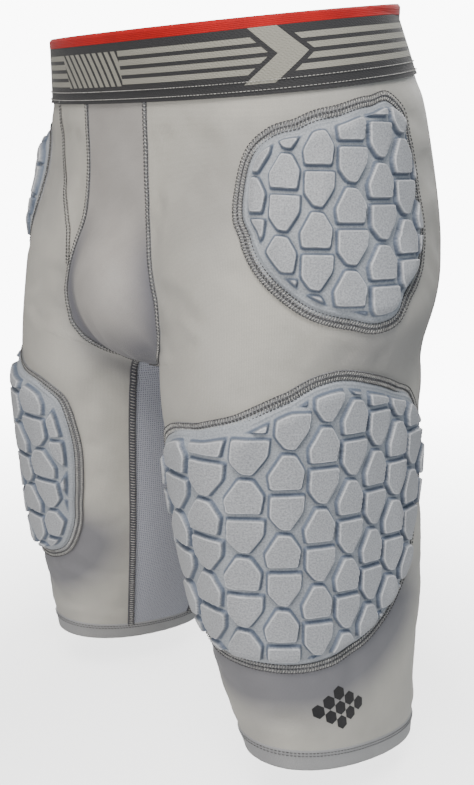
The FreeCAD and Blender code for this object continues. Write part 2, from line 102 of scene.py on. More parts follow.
THIGH_OUTLINE = [(110, 26), (108, 56), (95, 74), (72, 84), (43, 93), (21, 97), (3, 94), (-17, 84),
                 (-40, 72), (-63, 63), (-89, 56), (-104, 44), (-110, 22), (-112, -6), (-110, -34),
                 (-107, -61), (-98, -81), (-84, -90), (-63, -93), (-43, -94), (-20, -94), (1, -91),
                 (20, -85), (42, -77), (60, -67), (74, -56), (89, -39), (100, -13)]
TAIL_OUTLINE = [(44, 30), (40, 54), (22, 62), (0, 63), (-22, 62), (-40, 54), (-44, 30), (-40, 0),
                (-31, -32), (-18, -56), (0, -64), (18, -56), (31, -32), (40, 0)]
HIP_CENTRE_Z = -120.0
THIGH_CENTRE_Z = -312.0
TAIL_CENTRE_Z = -112.0
HIP_AXIS = (80.0, 4.0)
HIP_RADIUS = 88.0
HIP_ANGLE = -25.4
THIGH_RADIUS = 82.0
THIGH_ANGLE = -36.0
PRINT_ANGLE = -34.0
PRINT_CENTRE_Z = -440.0
CELL_PRINT_RADIUS = 5.6
CELL_PRINT_STEP = 11.5
HEM_ROUND = 359.0
FLOOR_LIFT = 2.0
SADDLE_LAP = 0.6           # the inner-leg gusset starts this far outside the crotch strip
SADDLE_END = 1.0           # and this far in from its ends
CLOTH_UNDERSIDE = -1.6     # heights from the form: the cloth's underside, and the lining's faces
LINING = (-2.8, -1.8)

# ---------------------------------------------------------------- how the grids are laid
MM = 0.001
PROBE = 0.5                # mm stepped to feel the form's slope
LEAST_GAIN = 0.3           # the form's slope is taken to be at least this
SKIN_HALVINGS = 22
SETTLE_ROUNDS = 6
SEAM_ROUNDS = 8
LEAST_INWARD = -0.01
SIDE_REACH = 200.0         # longer than any path from inside the form to its skin
WAIST_REACH = 260.0
PAD_REACH = 160.0
UNDERSIDE_START = 40.0
CROWDING = 1.35
END_POWER = 6              # how soon a row's end leaves its seam for the steady angles
SIDE_SHARES = (0.42, 0.06, 0.52)
RING_COUNT = 240


def shares(count):
    return np.linspace(0.0, 1.0, count)


def turns(count):
    """Evenly spaced angles (degrees) all the way round."""
    return np.linspace(0.0, 360.0, count, endpoint=False)


# ---------------------------------------------------------------- body form
def curve_value(at, places, values):
    """Smooth values from values at rising places, held level beyond the ends."""
    places = np.array(places, float)
    values = np.array(values, float)
    at = np.clip(np.asarray(at, float), places[0], places[-1])
    slopes = np.diff(values) / np.diff(places)
    tangents = np.concatenate([slopes[:1], np.zeros(len(slopes) - 1), slopes[-1:]])
    product = slopes[:-1] * slopes[1:]
    total = np.where(product > 0, slopes[:-1] + slopes[1:], 1.0)
    tangents[1:-1] = np.where(product > 0, 2 * product / total, 0.0)
    i = np.clip(np.searchsorted(places, at, side="right") - 1, 0, len(places) - 2)
    span = (places[1:] - places[:-1])[i]
    t = (at - places[i]) / span
    cubic = values[i] + (values[i + 1] - values[i]) * (3 * t * t - 2 * t ** 3)
    return cubic + span * (tangents[i] * t * (1 - t) ** 2 - tangents[i + 1] * t * t * (1 - t))


def smooth_min(a, b, width):
    share = np.clip(0.5 + 0.5 * (b - a) / width, 0.0, 1.0)
    return b * (1 - share) + a * share - width * share * (1 - share)


def smooth_step(value, low, high):
    t = np.clip((value - low) / (high - low), 0.0, 1.0)
    return t * t * (3 - 2 * t)


def oval(x, y, half_x, half_y, power):
    reach = (np.abs(x / half_x) ** power + np.abs(y / half_y) ** power) ** (1 / power)
    return (reach - 1) * 0.5 * (half_x + half_y)


def form(p):
    """Below zero inside the body that the shorts are shaped to, and above zero outside."""
    x, y, z = p[..., 0], p[..., 1], p[..., 2]
    depth = np.where(y < 0, curve_value(z, PELVIS_Z, FRONT_DEPTH), curve_value(z, PELVIS_Z, BACK_DEPTH))
    pelvis = oval(x, y, curve_value(z, PELVIS_Z, HALF_WIDTH), depth, PELVIS_POWER)
    floor = CROTCH_HEIGHT + FLOOR_LIFT + CROTCH_CURVE * y * y + HIP_RISE * x * x / (x * x + SADDLE_WIDTH ** 2)
    pelvis = -smooth_min(-pelvis, z - floor, CROTCH_ROUNDING)
    leg_x = curve_value(z, LEG_Z, LEG_X)
    leg_y = curve_value(z, LEG_Z, LEG_Y)
    half_x = curve_value(z, LEG_Z, LEG_HALF_WIDTH)
    half_y = curve_value(z, LEG_Z, LEG_HALF_DEPTH)
    near, far = [-smooth_min(-oval(x - side * leg_x, y - leg_y, half_x, half_y, LEG_POWER),
                             (LEG_TOP - z) * LEG_TOP_SLOPE, CROTCH_ROUNDING) for side in (1.0, -1.0)]
    trunk = smooth_min(pelvis, smooth_min(near, far, LEG_TO_LEG_ROUNDING), LEG_TO_PELVIS_ROUNDING)
    bulge = (p - np.array(POUCH_CENTRE)) / np.array(POUCH_SIZE)
    pouch = (np.sqrt((bulge ** 2).sum(-1)) - 1) * POUCH_SIZE[1]
    return smooth_min(trunk, pouch, POUCH_ROUNDING)


def normal(p):
    slope = [form(p + PROBE * axis) - form(p - PROBE * axis) for axis in np.eye(3)]
    slope = np.stack(slope, -1)
    return slope / np.linalg.norm(slope, axis=-1, keepdims=True)


def skin(origin, step, reach):
    """Where paths that start inside the form leave it."""
    low = np.zeros(origin.shape[:-1])
    high = np.broadcast_to(reach, low.shape).astype(float)
    for _ in range(SKIN_HALVINGS):
        middle = 0.5 * (low + high)
        inside = form(origin + step * middle[..., None]) < 0
        low = np.where(inside, middle, low)
        high = np.where(inside, high, middle)
    return origin + step * low[..., None]


def settle(p):
    """The points of the form nearest to points that are already close to it."""
    for _ in range(SETTLE_ROUNDS):
        outward = normal(p)
        here = form(p)
        gain = (form(p + outward * PROBE) - here) / PROBE
        p = p - outward * (here / np.maximum(gain, LEAST_GAIN))[..., None]
    return p


def leg_centre(height, slope_x):
    middle_z = height + LEG_MIDDLE_X * slope_x
    return curve_value(middle_z, LEG_Z, LEG_X), curve_value(middle_z, LEG_Z, LEG_Y)


def around_leg(angle, height, slope_x=0.0, slope_y=0.0):
    """Points of the left half at angles (degrees) round the leg, in the planes given."""
    angle, height, slope_x, slope_y = np.broadcast_arrays(angle, height, slope_x, slope_y)
    cx, cy = leg_centre(height, slope_x)
    dx, dy = np.cos(np.radians(angle)), np.sin(np.radians(angle))
    origin = np.stack([cx, cy, height + slope_x * cx + slope_y * cy], -1)
    step = np.stack([dx, dy, slope_x * dx + slope_y * dy], -1)
    inward = np.minimum(dx, LEAST_INWARD)
    reach = np.where(dx < LEAST_INWARD, np.minimum(SIDE_REACH, -cx / inward), SIDE_REACH)
    return skin(origin, step, reach)


def leg_rows(angle, planes):
    """A grid round the leg, one row in each plane."""
    return around_leg(angle, *[v[:, None] for v in planes])


def around_waist(angle, height):
    angle, height = np.broadcast_arrays(angle, height)
    dx, dy = np.cos(np.radians(angle)), np.sin(np.radians(angle))
    origin = np.stack([np.zeros(height.shape), np.zeros(height.shape), height.astype(float)], -1)
    return skin(origin, np.stack([dx, dy, WAIST_TILT * dy], -1), WAIST_REACH)


def front_or_back(x, z, way, tilt=0.0):
    x, z, tilt = np.broadcast_arrays(np.asarray(x, float), z, tilt)
    origin = np.stack([x, np.zeros(x.shape), z], -1)
    return skin(origin, np.stack([0 * x, way + 0 * x, tilt * way], -1), SIDE_REACH)


def underside(x, y):
    x, y = np.broadcast_arrays(np.asarray(x, float), y)
    origin = np.stack([x, y, CROTCH_HEIGHT + UNDERSIDE_START + 0 * x], -1)
    return skin(origin, np.broadcast_to([0.0, 0.0, -1.0], origin.shape), 2 * UNDERSIDE_START)


def plane_mix(first, last, share):
    """Planes part of the way between two planes: height, slope x, slope y, one per share."""
    return [a + (b - a) * share for a, b in zip(first, last)]


def crowded(count):
    """Shares from 0 to 1 that lie closer together towards 1."""
    return 1.0 - (1.0 - shares(count)) ** CROWDING


# ---------------------------------------------------------------- charts and seam lines
def pouch_half(z):
    return curve_value(z, POUCH_Z, POUCH_HALF)


def seat_half(z):
    return curve_value(z, SEAT_Z, SEAT_HALF)


def seam_points(planes, way, half_of):
    """Where a seam of the pouch (way -1) or the seat (way +1) crosses planes, on the left side."""
    height, slope_x, slope_y = planes
    z = height
    for _ in range(SEAM_ROUNDS):
        x = np.maximum(half_of(z), SADDLE_HALF_WIDTH)
        points = front_or_back(x, height + slope_x * x, way, slope_y)
        z = points[..., 2]
    return points


def centre_planes(count):
    return plane_mix(BAND_PLANE, (CROTCH_HEIGHT + SADDLE_DROP, 0.0, 0.0), crowded(count))


def centre_grid(way, half_of, rows, columns):
    planes = centre_planes(rows)
    half = seam_points(planes, way, half_of)[:, 0]
    x = half[:, None] * np.linspace(-1.0, 1.0, columns)
    return front_or_back(x, planes[0][:, None], way, planes[2][:, None])


def saddle_ends():
    low = CROTCH_HEIGHT + SADDLE_DROP
    return [float(front_or_back(SADDLE_HALF_WIDTH, low, way)[1]) for way in (-1.0, 1.0)]


def side_rows(planes, columns):
    """Rows from the pouch seam, round the outer side, to the seat seam."""
    height, slope_x, _ = planes
    cx, cy = leg_centre(height, slope_x)
    ends = [seam_points(planes, -1.0, pouch_half), seam_points(planes, 1.0, seat_half)]
    first, last = [np.degrees(np.arctan2(e[:, 1] - cy, e[:, 0] - cx)) for e in ends]
    share = shares(columns)
    angle = GUSSET_ANGLE * (2 * share - 1) + (first + GUSSET_ANGLE)[:, None] * (1 - share) ** END_POWER
    angle = angle + (last - GUSSET_ANGLE)[:, None] * share ** END_POWER
    return leg_rows(angle, planes)


def side_grid(rows, columns):
    """The left side panel from the band, over the hip fold, to the top of the hem."""
    upper, fold, lower = [max(4, round(rows * share)) for share in SIDE_SHARES]
    top = side_rows(plane_mix(BAND_PLANE, FOLD_TOP_PLANE, crowded(upper)), columns)
    angle = np.linspace(-GUSSET_ANGLE, GUSSET_ANGLE, columns)
    leg = leg_rows(angle, plane_mix(FOLD_BOTTOM_PLANE, HEM_TOP_PLANE, shares(lower)))
    steps = shares(fold + 2)[1:-1, None, None]
    bend = settle(top[-1] + (leg[0] - top[-1]) * steps)
    return np.concatenate([top, bend, leg])


def saddle_edge(count):
    """Points along the left edge of the crotch strip, from front to back."""
    front, back = saddle_ends()
    y = np.linspace(front + SADDLE_END, back - SADDLE_END, count)
    return underside(SADDLE_HALF_WIDTH + SADDLE_LAP, y)


def from_saddle(top, leg, count):
    """Points that run from the crotch strip to the first row of the leg, and then down the leg."""
    steps = shares(count)[:-1].reshape(-1, *[1] * top.ndim)
    return np.concatenate([settle(top + (leg[0] - top) * steps), leg])


def gusset_grid(rows, columns):
    """The left mesh gusset from the crotch down the inner leg."""
    angle = np.linspace(-GUSSET_ANGLE, GUSSET_ANGLE - 360.0, columns)
    leg = leg_rows(angle, plane_mix(FOLD_BOTTOM_PLANE, HEM_TOP_PLANE, shares(rows)))
    return from_saddle(saddle_edge(columns), leg, 10)


def hip_chart(across, up):
    turn = math.radians(HIP_ANGLE) + across / HIP_RADIUS
    origin = np.stack([HIP_AXIS[0] + 0 * up, HIP_AXIS[1] + 0 * up, HIP_CENTRE_Z + up], -1)
    return skin(origin, np.stack([np.cos(turn), np.sin(turn), 0 * turn], -1), PAD_REACH)


def thigh_chart(across, up):
    return around_leg(THIGH_ANGLE + np.degrees(across / THIGH_RADIUS), THIGH_CENTRE_Z + up)


def thigh_place(p):
    """Where points lie on the thigh pad's chart, on either leg."""
    cx, cy = leg_centre(p[..., 2], 0.0)
    turn = np.degrees(np.arctan2(p[..., 1] - cy, np.abs(p[..., 0]) - cx)) - THIGH_ANGLE
    return np.radians((turn + 180.0) % 360.0 - 180.0) * THIGH_RADIUS, p[..., 2] - THIGH_CENTRE_Z


def print_chart(across, up):
    return around_leg(PRINT_ANGLE + np.degrees(across / THIGH_RADIUS), PRINT_CENTRE_Z + up)


def tail_chart(across, up):
    return front_or_back(across, TAIL_CENTRE_Z + up, 1.0)


def outline_reach(outline, turn):
    """Distance from a pad's centre to its outline in each direction."""
    polar = sorted((math.atan2(y, x), math.hypot(x, y)) for x, y in outline)
    angles = [a + lap * 2 * math.pi for lap in (-1, 0, 1) for a, _ in polar]
    return curve_value(np.arctan2(np.sin(turn), np.cos(turn)), angles, [r for _, r in polar] * 3)


def pad_grid(outline, count, inset=0.0):
    """Grid (across, up) over a pad whose rim follows the outline."""
    wide = max(x for x, _ in outline)
    tall = max(y for _, y in outline)
    a, b = np.meshgrid(np.linspace(-1, 1, count), np.linspace(-1, 1, count))
    across, up = a * np.sqrt(1 - b * b / 2), b * np.sqrt(1 - a * a / 2)
    radius = np.hypot(across, up)
    turn = np.arctan2(up * tall, across * wide)
    middle = wide * tall / np.hypot(tall * np.cos(turn), wide * np.sin(turn))
    edge = outline_reach(outline, turn) - inset
    reach = radius * (middle + (edge - middle) * radius * radius)
    return reach * np.cos(turn), reach * np.sin(turn)


def outline_ring(outline, inset):
    turn = np.linspace(0.0, 2 * np.pi, RING_COUNT, endpoint=False)
    reach = outline_reach(outline, turn) - inset
    return reach * np.cos(turn), reach * np.sin(turn)


def mirror(side):
    return np.array([side, 1.0, 1.0])


def body_of(side):
    return "left_leg" if side > 0 else "right_leg"


def side_name(name, side):
    return name + ("_left" if side > 0 else "_right")


# ---------------------------------------------------------------- cloth simulation
SIM_FRAMES = 20
SIM_QUALITY = 6
SIM_MASS = 0.15
SIM_BENDING = 0.4
SIDE_GRID = 84
SIDE_PRESSURE = 0.3
SIDE_GROWTH = 0.035        # slack in the free cloth, which buckles into soft folds
SIDE_LIMIT = 1.1           # the simulated cloth moves much further, and is held to this
PAD_PINS = 7.0             # cloth this near to a pad is held by it
CROWN_GRID = 33
CROWN_PRESSURE = 4.0
CROWN_GROWTH = 0.02
CROWN_LIMIT = 2.5
FOLD_REACH = 5.5           # mm over which the simulated folds are smoothed
FOLD_NEIGHBOURS = 9
LEAST_WEIGHT = 1e-4
FOLD_COUNT = 9.0
FOLD_MIDDLE = 24.0
FOLD_SPREAD = 15.0
FOLD_HEIGHT = 0.8
FOLD_UNEVEN = 1.4          # how far, how often and from where the crotch folds' spacing swings
FOLD_SWINGS = 3.0
FOLD_PHASE = 0.5
FOLD_FRONT = (20.0, 45.0)
folds = {"tree": None, "height": None}


def tree_of(points):
    tree = KDTree(len(points))
    for i, place in enumerate(points):
        tree.insert(place, i)
    tree.balance()
    return tree


def simulated(base, pinned, pressure, growth):
    """How far cloth that is pinned at some points of a grid moves along the form's normals (mm)."""
    rows, columns = base.shape[:2]
    faces = grid_faces(rows, columns, False)[0]
    trial = add_mesh("cloth_trial", base.reshape(-1, 3), faces, None, sharp=None)
    pins = trial.vertex_groups.new(name="pins")
    pins.add([int(i) for i in np.nonzero(pinned.ravel())[0]], 1.0, "REPLACE")
    modifier = trial.modifiers.new("cloth", "CLOTH")
    modifier.point_cache.frame_start = 1
    modifier.point_cache.frame_end = SIM_FRAMES
    settings = modifier.settings
    settings.quality = SIM_QUALITY
    settings.mass = SIM_MASS
    settings.bending_stiffness = SIM_BENDING
    settings.vertex_group_mass = "pins"
    settings.shrink_min = -growth
    settings.use_pressure = True
    settings.uniform_pressure_force = pressure
    settings.effector_weights.gravity = 0.0
    scene = bpy.context.scene
    for number in range(1, SIM_FRAMES + 1):
        scene.frame_set(number)
    shaped = trial.evaluated_get(bpy.context.evaluated_depsgraph_get()).data
    places = np.empty(rows * columns * 3, np.float32)
    shaped.vertices.foreach_get("co", places)
    moved = places.reshape(base.shape) / MM - base
    bpy.data.objects.remove(trial)
    scene.frame_set(1)
    return (moved * normal(base)).sum(-1)


def simulate_folds():
    """Soft folds of the side cloth between its seams and the pads, kept for all that lies on it."""
    base = side_grid(SIDE_GRID, SIDE_GRID)
    points = base.reshape(-1, 3)
    pinned = np.zeros(base.shape[:2], bool)
    pinned[[0, 1, -2, -1]] = True
    pinned[:, [0, 1, -2, -1]] = True
    for outline, chart in ((HIP_OUTLINE, hip_chart), (THIGH_OUTLINE, thigh_chart)):
        pad = tree_of(chart(*pad_grid(outline, 25)).reshape(-1, 3))
        pinned |= np.array([pad.find(place)[2] < PAD_PINS for place in points]).reshape(pinned.shape)
    height = np.clip(simulated(base, pinned, SIDE_PRESSURE, SIDE_GROWTH), -SIDE_LIMIT, SIDE_LIMIT)
    folds["tree"] = tree_of(points)
    folds["height"] = np.where(pinned, 0.0, height).ravel()


def crotch_folds(p):
    """Short folds that spread from where the pouch meets the gusset."""
    across, up = p[..., 0], p[..., 2] - CROTCH_HEIGHT
    reach = np.hypot(across, up)
    turn = np.arctan2(across, up)
    wave = np.sin(FOLD_COUNT * turn + FOLD_UNEVEN * np.sin(FOLD_SWINGS * turn + FOLD_PHASE))
    near = np.exp(-((reach - FOLD_MIDDLE) / FOLD_SPREAD) ** 2) * smooth_step(-p[..., 1], *FOLD_FRONT)
    return FOLD_HEIGHT * wave * near


def wrinkles(p):
    """Height of the cloth's soft folds at points of the form."""
    if folds["tree"] is None:
        return crotch_folds(p)
    lift = []
    flat = p.reshape(-1, 3)
    for place in (flat * np.where(flat < 0, [-1, 1, 1], 1)).tolist():
        total, weights = 0.0, LEAST_WEIGHT
        for _, i, distance in folds["tree"].find_n(place, FOLD_NEIGHBOURS):
            weight = math.exp(-(distance / FOLD_REACH) ** 2)
            total += weight * folds["height"][i]
            weights += weight
        lift.append(total / weights)
    return np.array(lift).reshape(p.shape[:-1]) + crotch_folds(p)


def pad_crown(base, count):
    """How far a pad's cover swells over its foam, from a simulation on a coarse grid.

    Nothing stands for the foam in it, so only the outward part is kept, up to a limit."""
    if not FINE:
        return np.zeros((count, count))
    pinned = np.ones(base.shape[:2], bool)
    pinned[1:-1, 1:-1] = False
    coarse = np.clip(simulated(base, pinned, CROWN_PRESSURE, CROWN_GROWTH), 0.0, CROWN_LIMIT)
    old = np.linspace(-1.0, 1.0, len(coarse))
    new = np.linspace(-1.0, 1.0, count)
    weight = np.exp(-((new[:, None] - old) / (old[1] - old[0])) ** 2)
    weight /= weight.sum(axis=1, keepdims=True)
    return weight @ coarse @ weight.T


# ---------------------------------------------------------------- sheets and threads
SHARP_ANGLE = 50.0
# painted shade in creases: distances out from the form at which its growth is felt
HOLLOW_REACH = (12.0, 26.0, 45.0)
SHADE_REACH = 62.0         # mm below a thigh pad over which its painted shadow reaches
SHADE_DEPTH = 0.95
SHADE_FROM = (30.0, 80.0)  # the painted shadow grows in between these drops below the pad's middle
CIRCLE_SIDES = 5
# along a thread: share of its length, lift in crowns, width in radii
THREAD_SHAPE = ((0.0, -0.6, 0.55), (0.2, 0.7, 1.0), (0.8, 0.7, 1.0), (1.0, -0.6, 0.55))
RAIL_THREAD = (0.4, 0.38)  # crown and radius of each kind of thread
RUNG_THREAD = (0.35, 0.34)
BAND_THREAD = (0.3, 0.24)
HEM_THREAD = (0.3, 0.25)
DASH_SHARE = 0.78
RUNG_SLANT = 0.5
RUNG_INSET = 0.3
WELT_STEP = 2.0
WELT_EDGE = -0.5


def add_object(name, data):
    made = bpy.data.objects.new(name, data)
    bpy.context.scene.collection.objects.link(made)
    return made


def add_mesh(name, points, faces, material, uv=None, values=None, sharp=SHARP_ANGLE):
    """A mesh from points in millimetres, quads and one texture place (metres) per face corner."""
    mesh = bpy.data.meshes.new(name)
    mesh.vertices.add(len(points))
    mesh.vertices.foreach_set("co", (points * MM).astype(np.float32).ravel())
    mesh.loops.add(faces.size)
    mesh.loops.foreach_set("vertex_index", faces.astype(np.int32).ravel())
    mesh.polygons.add(len(faces))
    mesh.polygons.foreach_set("loop_start", np.arange(0, faces.size, 4, dtype=np.int32))
    mesh.polygons.foreach_set("loop_total", np.full(len(faces), 4, dtype=np.int32))
    mesh.update(calc_edges=True)
    mesh.shade_smooth()
    if sharp:
        mesh.set_sharp_from_angle(angle=math.radians(sharp))
    if uv is not None:
        layer = mesh.uv_layers.new(name="cloth")
        layer.data.foreach_set("uv", uv.astype(np.float32).ravel())
    for key, value in (values or {}).items():
        attribute = mesh.attributes.new(key, "FLOAT", "POINT")
        attribute.data.foreach_set("value", value.astype(np.float32).ravel())
    if material is not None:
        mesh.materials.append(MATERIALS[material])
    return add_object(name, mesh)


def grid_faces(rows, columns, closed):
    """Quads of a grid, and the (row, column) of each corner with columns counted past the join."""
    i, j = np.meshgrid(np.arange(rows - 1), np.arange(columns if closed else columns - 1), indexing="ij")
    corner_row = np.stack([i, i + 1, i + 1, i], -1).reshape(-1, 4)
    corner_column = np.stack([j, j, j + 1, j + 1], -1).reshape(-1, 4)
    return corner_row * columns + corner_column % columns, corner_row, corner_column


def facing(points, faces, outward):
    """Turns the quads over if they look against the outward directions."""
    a, b, c = [points[faces[:, k]] for k in range(3)]
    turned = (np.cross(b - a, c - a) * outward[faces[:, 0]]).sum() < 0
    return faces[:, ::-1] if turned else faces


def painted_light_share(base, outward):
    """Share of light that painted shade leaves: 1 on open cloth, less down in creases, and less again in a
    painted shadow under a thigh pad.

    In a crease the distance to the form grows slowly on the way out."""
    growth = [form(base + outward * reach) / reach for reach in HOLLOW_REACH]
    across, up = thigh_place(base)
    outside = np.hypot(across, up) - outline_reach(THIGH_OUTLINE, np.arctan2(up, across))
    under = (1.0 - smooth_step(outside, 0.0, SHADE_REACH)) * smooth_step(-up, *SHADE_FROM)
    return np.clip(np.mean(growth, axis=0), 0.0, 1.0) - SHADE_DEPTH * under


def sheet_rims(rows, columns, closed):
    """The edges of a grid: rows and columns of their points, and the side that the sheet lies on."""
    across = np.arange(columns + 1 if closed else columns)
    along = np.arange(rows)
    rims = [(0 * across, across, 1), (0 * across + rows - 1, across, -1)]
    if not closed:
        rims += [(along, 0 * along, -1), (along, 0 * along + columns - 1, 1)]
    return rims


def sheet_mesh(name, base, low, high, material, uv, closed=False, values=None):
    """A sheet between two lifts above a grid of points on the form, or one face if low is None.

    uv holds one texture place per grid point, with one more column than the grid when it is closed."""
    rows, columns = base.shape[:2]
    count = rows * columns
    outward = normal(base)
    fold = wrinkles(base)
    points = (base + outward * (high + fold)[..., None]).reshape(-1, 3)
    faces, corner_row, corner_column = grid_faces(rows, columns, closed)
    turned = facing(points, faces, outward.reshape(-1, 3))
    flipped = turned is not faces
    order = [3, 2, 1, 0] if flipped else [0, 1, 2, 3]
    places = uv[corner_row, corner_column]
    faces_all = [turned]
    uv_all = [places[:, order]]
    if low is not None:
        inner = base + outward * (low + fold)[..., None]
        points = np.concatenate([points, inner.reshape(-1, 3)])
        faces_all.append(turned[:, ::-1] + count)
        uv_all.append(places[:, order[::-1]])
        for row, column, way in sheet_rims(rows, columns, closed):
            run = row * columns + column % columns
            a, b = run[:-1], run[1:]
            strip = np.stack([a, b, b + count, a + count], -1)
            place = uv[row, column]
            strip_uv = np.stack([place[:-1], place[1:], place[1:], place[:-1]], 1)
            if (way > 0) == flipped:
                strip, strip_uv = strip[:, ::-1], strip_uv[:, ::-1]
            faces_all.append(strip)
            uv_all.append(strip_uv)
    # open: share of light left by painted shade, which darkens the knit's colour
    values = {"open": painted_light_share(base, outward), **(values or {})}
    values = {key: np.tile(value.ravel(), 1 if low is None else 2) for key, value in values.items()}
    return add_mesh(name, points, np.concatenate(faces_all), material, np.concatenate(uv_all), values)


def place_uv(*parts):
    return np.stack([np.asarray(part, float) * MM for part in np.broadcast_arrays(*parts)], -1)


def arc_places(base):
    """Texture places of a grid: distance along each row from its middle, and height."""
    steps = np.linalg.norm(np.diff(base, axis=1), axis=-1)
    along = np.concatenate([np.zeros((len(base), 1)), np.cumsum(steps, axis=1)], axis=1)
    return place_uv(along - along[:, -1:] / 2, base[..., 2])


def resampled(line, spacing, closed):
    """Evenly spaced points along a line."""
    line = np.concatenate([line, line[:1]]) if closed else line
    length = np.concatenate([[0.0], np.cumsum(np.linalg.norm(np.diff(line, axis=0), axis=1))])
    count = max(4, int(round(length[-1] / spacing)))
    at = np.linspace(0.0, length[-1], count + (0 if closed else 1), endpoint=not closed)
    return np.stack([np.interp(at, length, line[:, k]) for k in range(3)], -1)


def line_frame(line, closed):
    """Unit directions along and across a line on the form, and the form's normals."""
    if closed:
        along = np.roll(line, -1, axis=0) - np.roll(line, 1, axis=0)
    else:
        along = np.gradient(line, axis=0)
    outward = normal(line)
    across = np.cross(outward, along)
    across /= np.linalg.norm(across, axis=1, keepdims=True)
    return np.cross(across, outward), across, outward


def threads(name, rows, crown, radius, material):
    """Short stitches, each a bent thread from a start to an end that rises by the crown between them."""
    starts, ends, outward = [np.concatenate(part) for part in zip(*rows)]
    along = ends - starts
    along /= np.linalg.norm(along, axis=1, keepdims=True)
    side = np.cross(along, outward)
    side /= np.linalg.norm(side, axis=1, keepdims=True)
    rise = np.cross(side, along)
    turn = np.linspace(0.0, 2 * np.pi, CIRCLE_SIDES, endpoint=False)
    ring = np.cos(turn)[:, None, None] * side + np.sin(turn)[:, None, None] * rise
    rings = []
    for share, lift, width in THREAD_SHAPE:
        middle = starts + (ends - starts) * share + rise * (crown * lift)
        rings.append(middle + ring * (radius * width))
    points = np.stack(rings).transpose(2, 0, 1, 3)
    levels = len(rings)
    faces = []
    for level in range(levels - 1):
        for k in range(CIRCLE_SIDES):
            follow = (k + 1) % CIRCLE_SIDES
            base = level * CIRCLE_SIDES
            faces.append([base + k, base + follow, base + CIRCLE_SIDES + follow, base + CIRCLE_SIDES + k])
    faces = np.array(faces)
    offset = np.arange(len(starts)) * levels * CIRCLE_SIDES
    faces = (faces[None] + offset[:, None, None]).reshape(-1, 4)
    return add_mesh(name, points.reshape(-1, 3), faces, material, sharp=None)


def raised(line, outward, lift):
    return line + outward * (lift + wrinkles(line))[:, None]


def dash_row(line, closed, offset, lift, length=2.3):
    """Starts, ends and normals of a row of stitches along a line, moved sideways by an offset."""
    points = resampled(line, length, closed)
    along, across, outward = line_frame(points, closed)
    points = settle(points + across * offset)
    points = raised(points, outward, lift)
    return points, points + along * (length * DASH_SHARE), outward


def cross_row(line, closed, first, last, lift, spacing):
    """Threads that cross a seam from one offset to another, each leaning along it."""
    points = resampled(line, spacing, closed)
    along, across, outward = line_frame(points, closed)
    start = settle(points + across * first)
    end = settle(points + across * last + along * (spacing * RUNG_SLANT))
    return raised(start, outward, lift), raised(end, outward, lift), outward


def ladder_seam(name, lines, closed, width, lift, spacing=2.4):
    """A flat lock seam: two rows of dark stitches with lighter threads crossing between them."""
    rails = []
    rungs = []
    half = width / 2
    for line in lines:
        rails += [dash_row(line, closed, offset, lift) for offset in (-half, half)]
        rungs.append(cross_row(line, closed, RUNG_INSET - half, half - RUNG_INSET, lift - 0.1, spacing))
    return [threads(name + "_rails", rails, *RAIL_THREAD, "thread_dark"),
            threads(name + "_rungs", rungs, *RUNG_THREAD, "thread_light")]


def welt(name, line, closed, width, height, material):
    """A low rounded ridge of cloth along a seam."""
    points = resampled(line, WELT_STEP, closed)
    _, across, outward = line_frame(points, closed)
    offsets = np.linspace(-0.5, 0.5, 9)
    base = settle(points[:, None] + across[:, None] * (offsets * width)[None, :, None])
    profile = WELT_EDGE + (height - WELT_EDGE) * np.clip(1 - (2 * offsets) ** 2, 0, 1) ** 0.5
    distance = np.arange(len(points) + (1 if closed else 0)) * WELT_STEP
    if closed:
        uv = place_uv(distance[None, :], (offsets * width)[:, None])
        return sheet_mesh(name, base.transpose(1, 0, 2), None, profile[:, None], material, uv, closed=True)
    uv = place_uv(distance[:, None], (offsets * width)[None, :])
    return sheet_mesh(name, base, None, profile[None, :], material, uv)


# ---------------------------------------------------------------- moulded pads
CELL_BEVEL = 1.25
CELL_GROW = 0.75           # the cells' feet stand out this far round their tops
CELL_CORNER = 0.5
CELL_MARGIN = 8.0          # plain rim between the seam and the cells
CELL_RAISE = 3.8
EDGE_LIMIT = 4.0
PAD_FLOOR = 5.0            # height of the grooves over the cloth
RIM_HEIGHT = 0.7
RIM_STEP = 1.2
RIM_STEP_FROM, RIM_STEP_TO = 2.6, 5.0
DOME_FROM, DOME_TO = 3.0, 14.0
RIDGE_PLACE = 5.2          # a fine moulded line runs round the rim this far in
RIDGE_HEIGHT = 0.45
RIDGE_WIDTH = 0.8
SEAM_INSET = 1.7           # the pad's two rows of stitches lie this far out and in from its outline
SEAM_WELT = (7.0, 1.5)     # width and height
SEAM_LADDER = (2.7, 1.5, 1.7)  # width, lift and spacing
COVER_UNDERSIDE = -0.2
COVER_SPACING = 0.75 if FINE else 1.6
BACKING_INSET = 3.0
# one pair of cells: across in shares of the pitch, and up in shares of the period
LOWER_CELL = [(-0.45, -0.04), (0.45, -0.04), (0.44, -0.24), (0.1, -0.475), (-0.17, -0.46), (-0.45, -0.31)]
UPPER_CELL = [(-0.46, 0.04), (-0.54, 0.21), (-0.22, 0.475), (0.13, 0.46), (0.41, 0.27), (0.34, 0.04)]
# each pad's cells: a shared edge's middle (across, up), pitch, period, rise per column, lean
HIP_CELLS = (-35.0, 11.4, 19.6, 47.0, 14.2, 0.026)
THIGH_CELLS = (-18.8, 27.6, 20.8, 50.5, 15.5, 0.129)
TAIL_CELLS = (0.0, 6.0, 19.6, 47.0, 14.2, 0.0)


def rounded_max(values, width):
    values = np.stack(values)
    top = values.max(axis=0)
    return top + width * np.log(np.exp((values - top) / width).sum(axis=0))


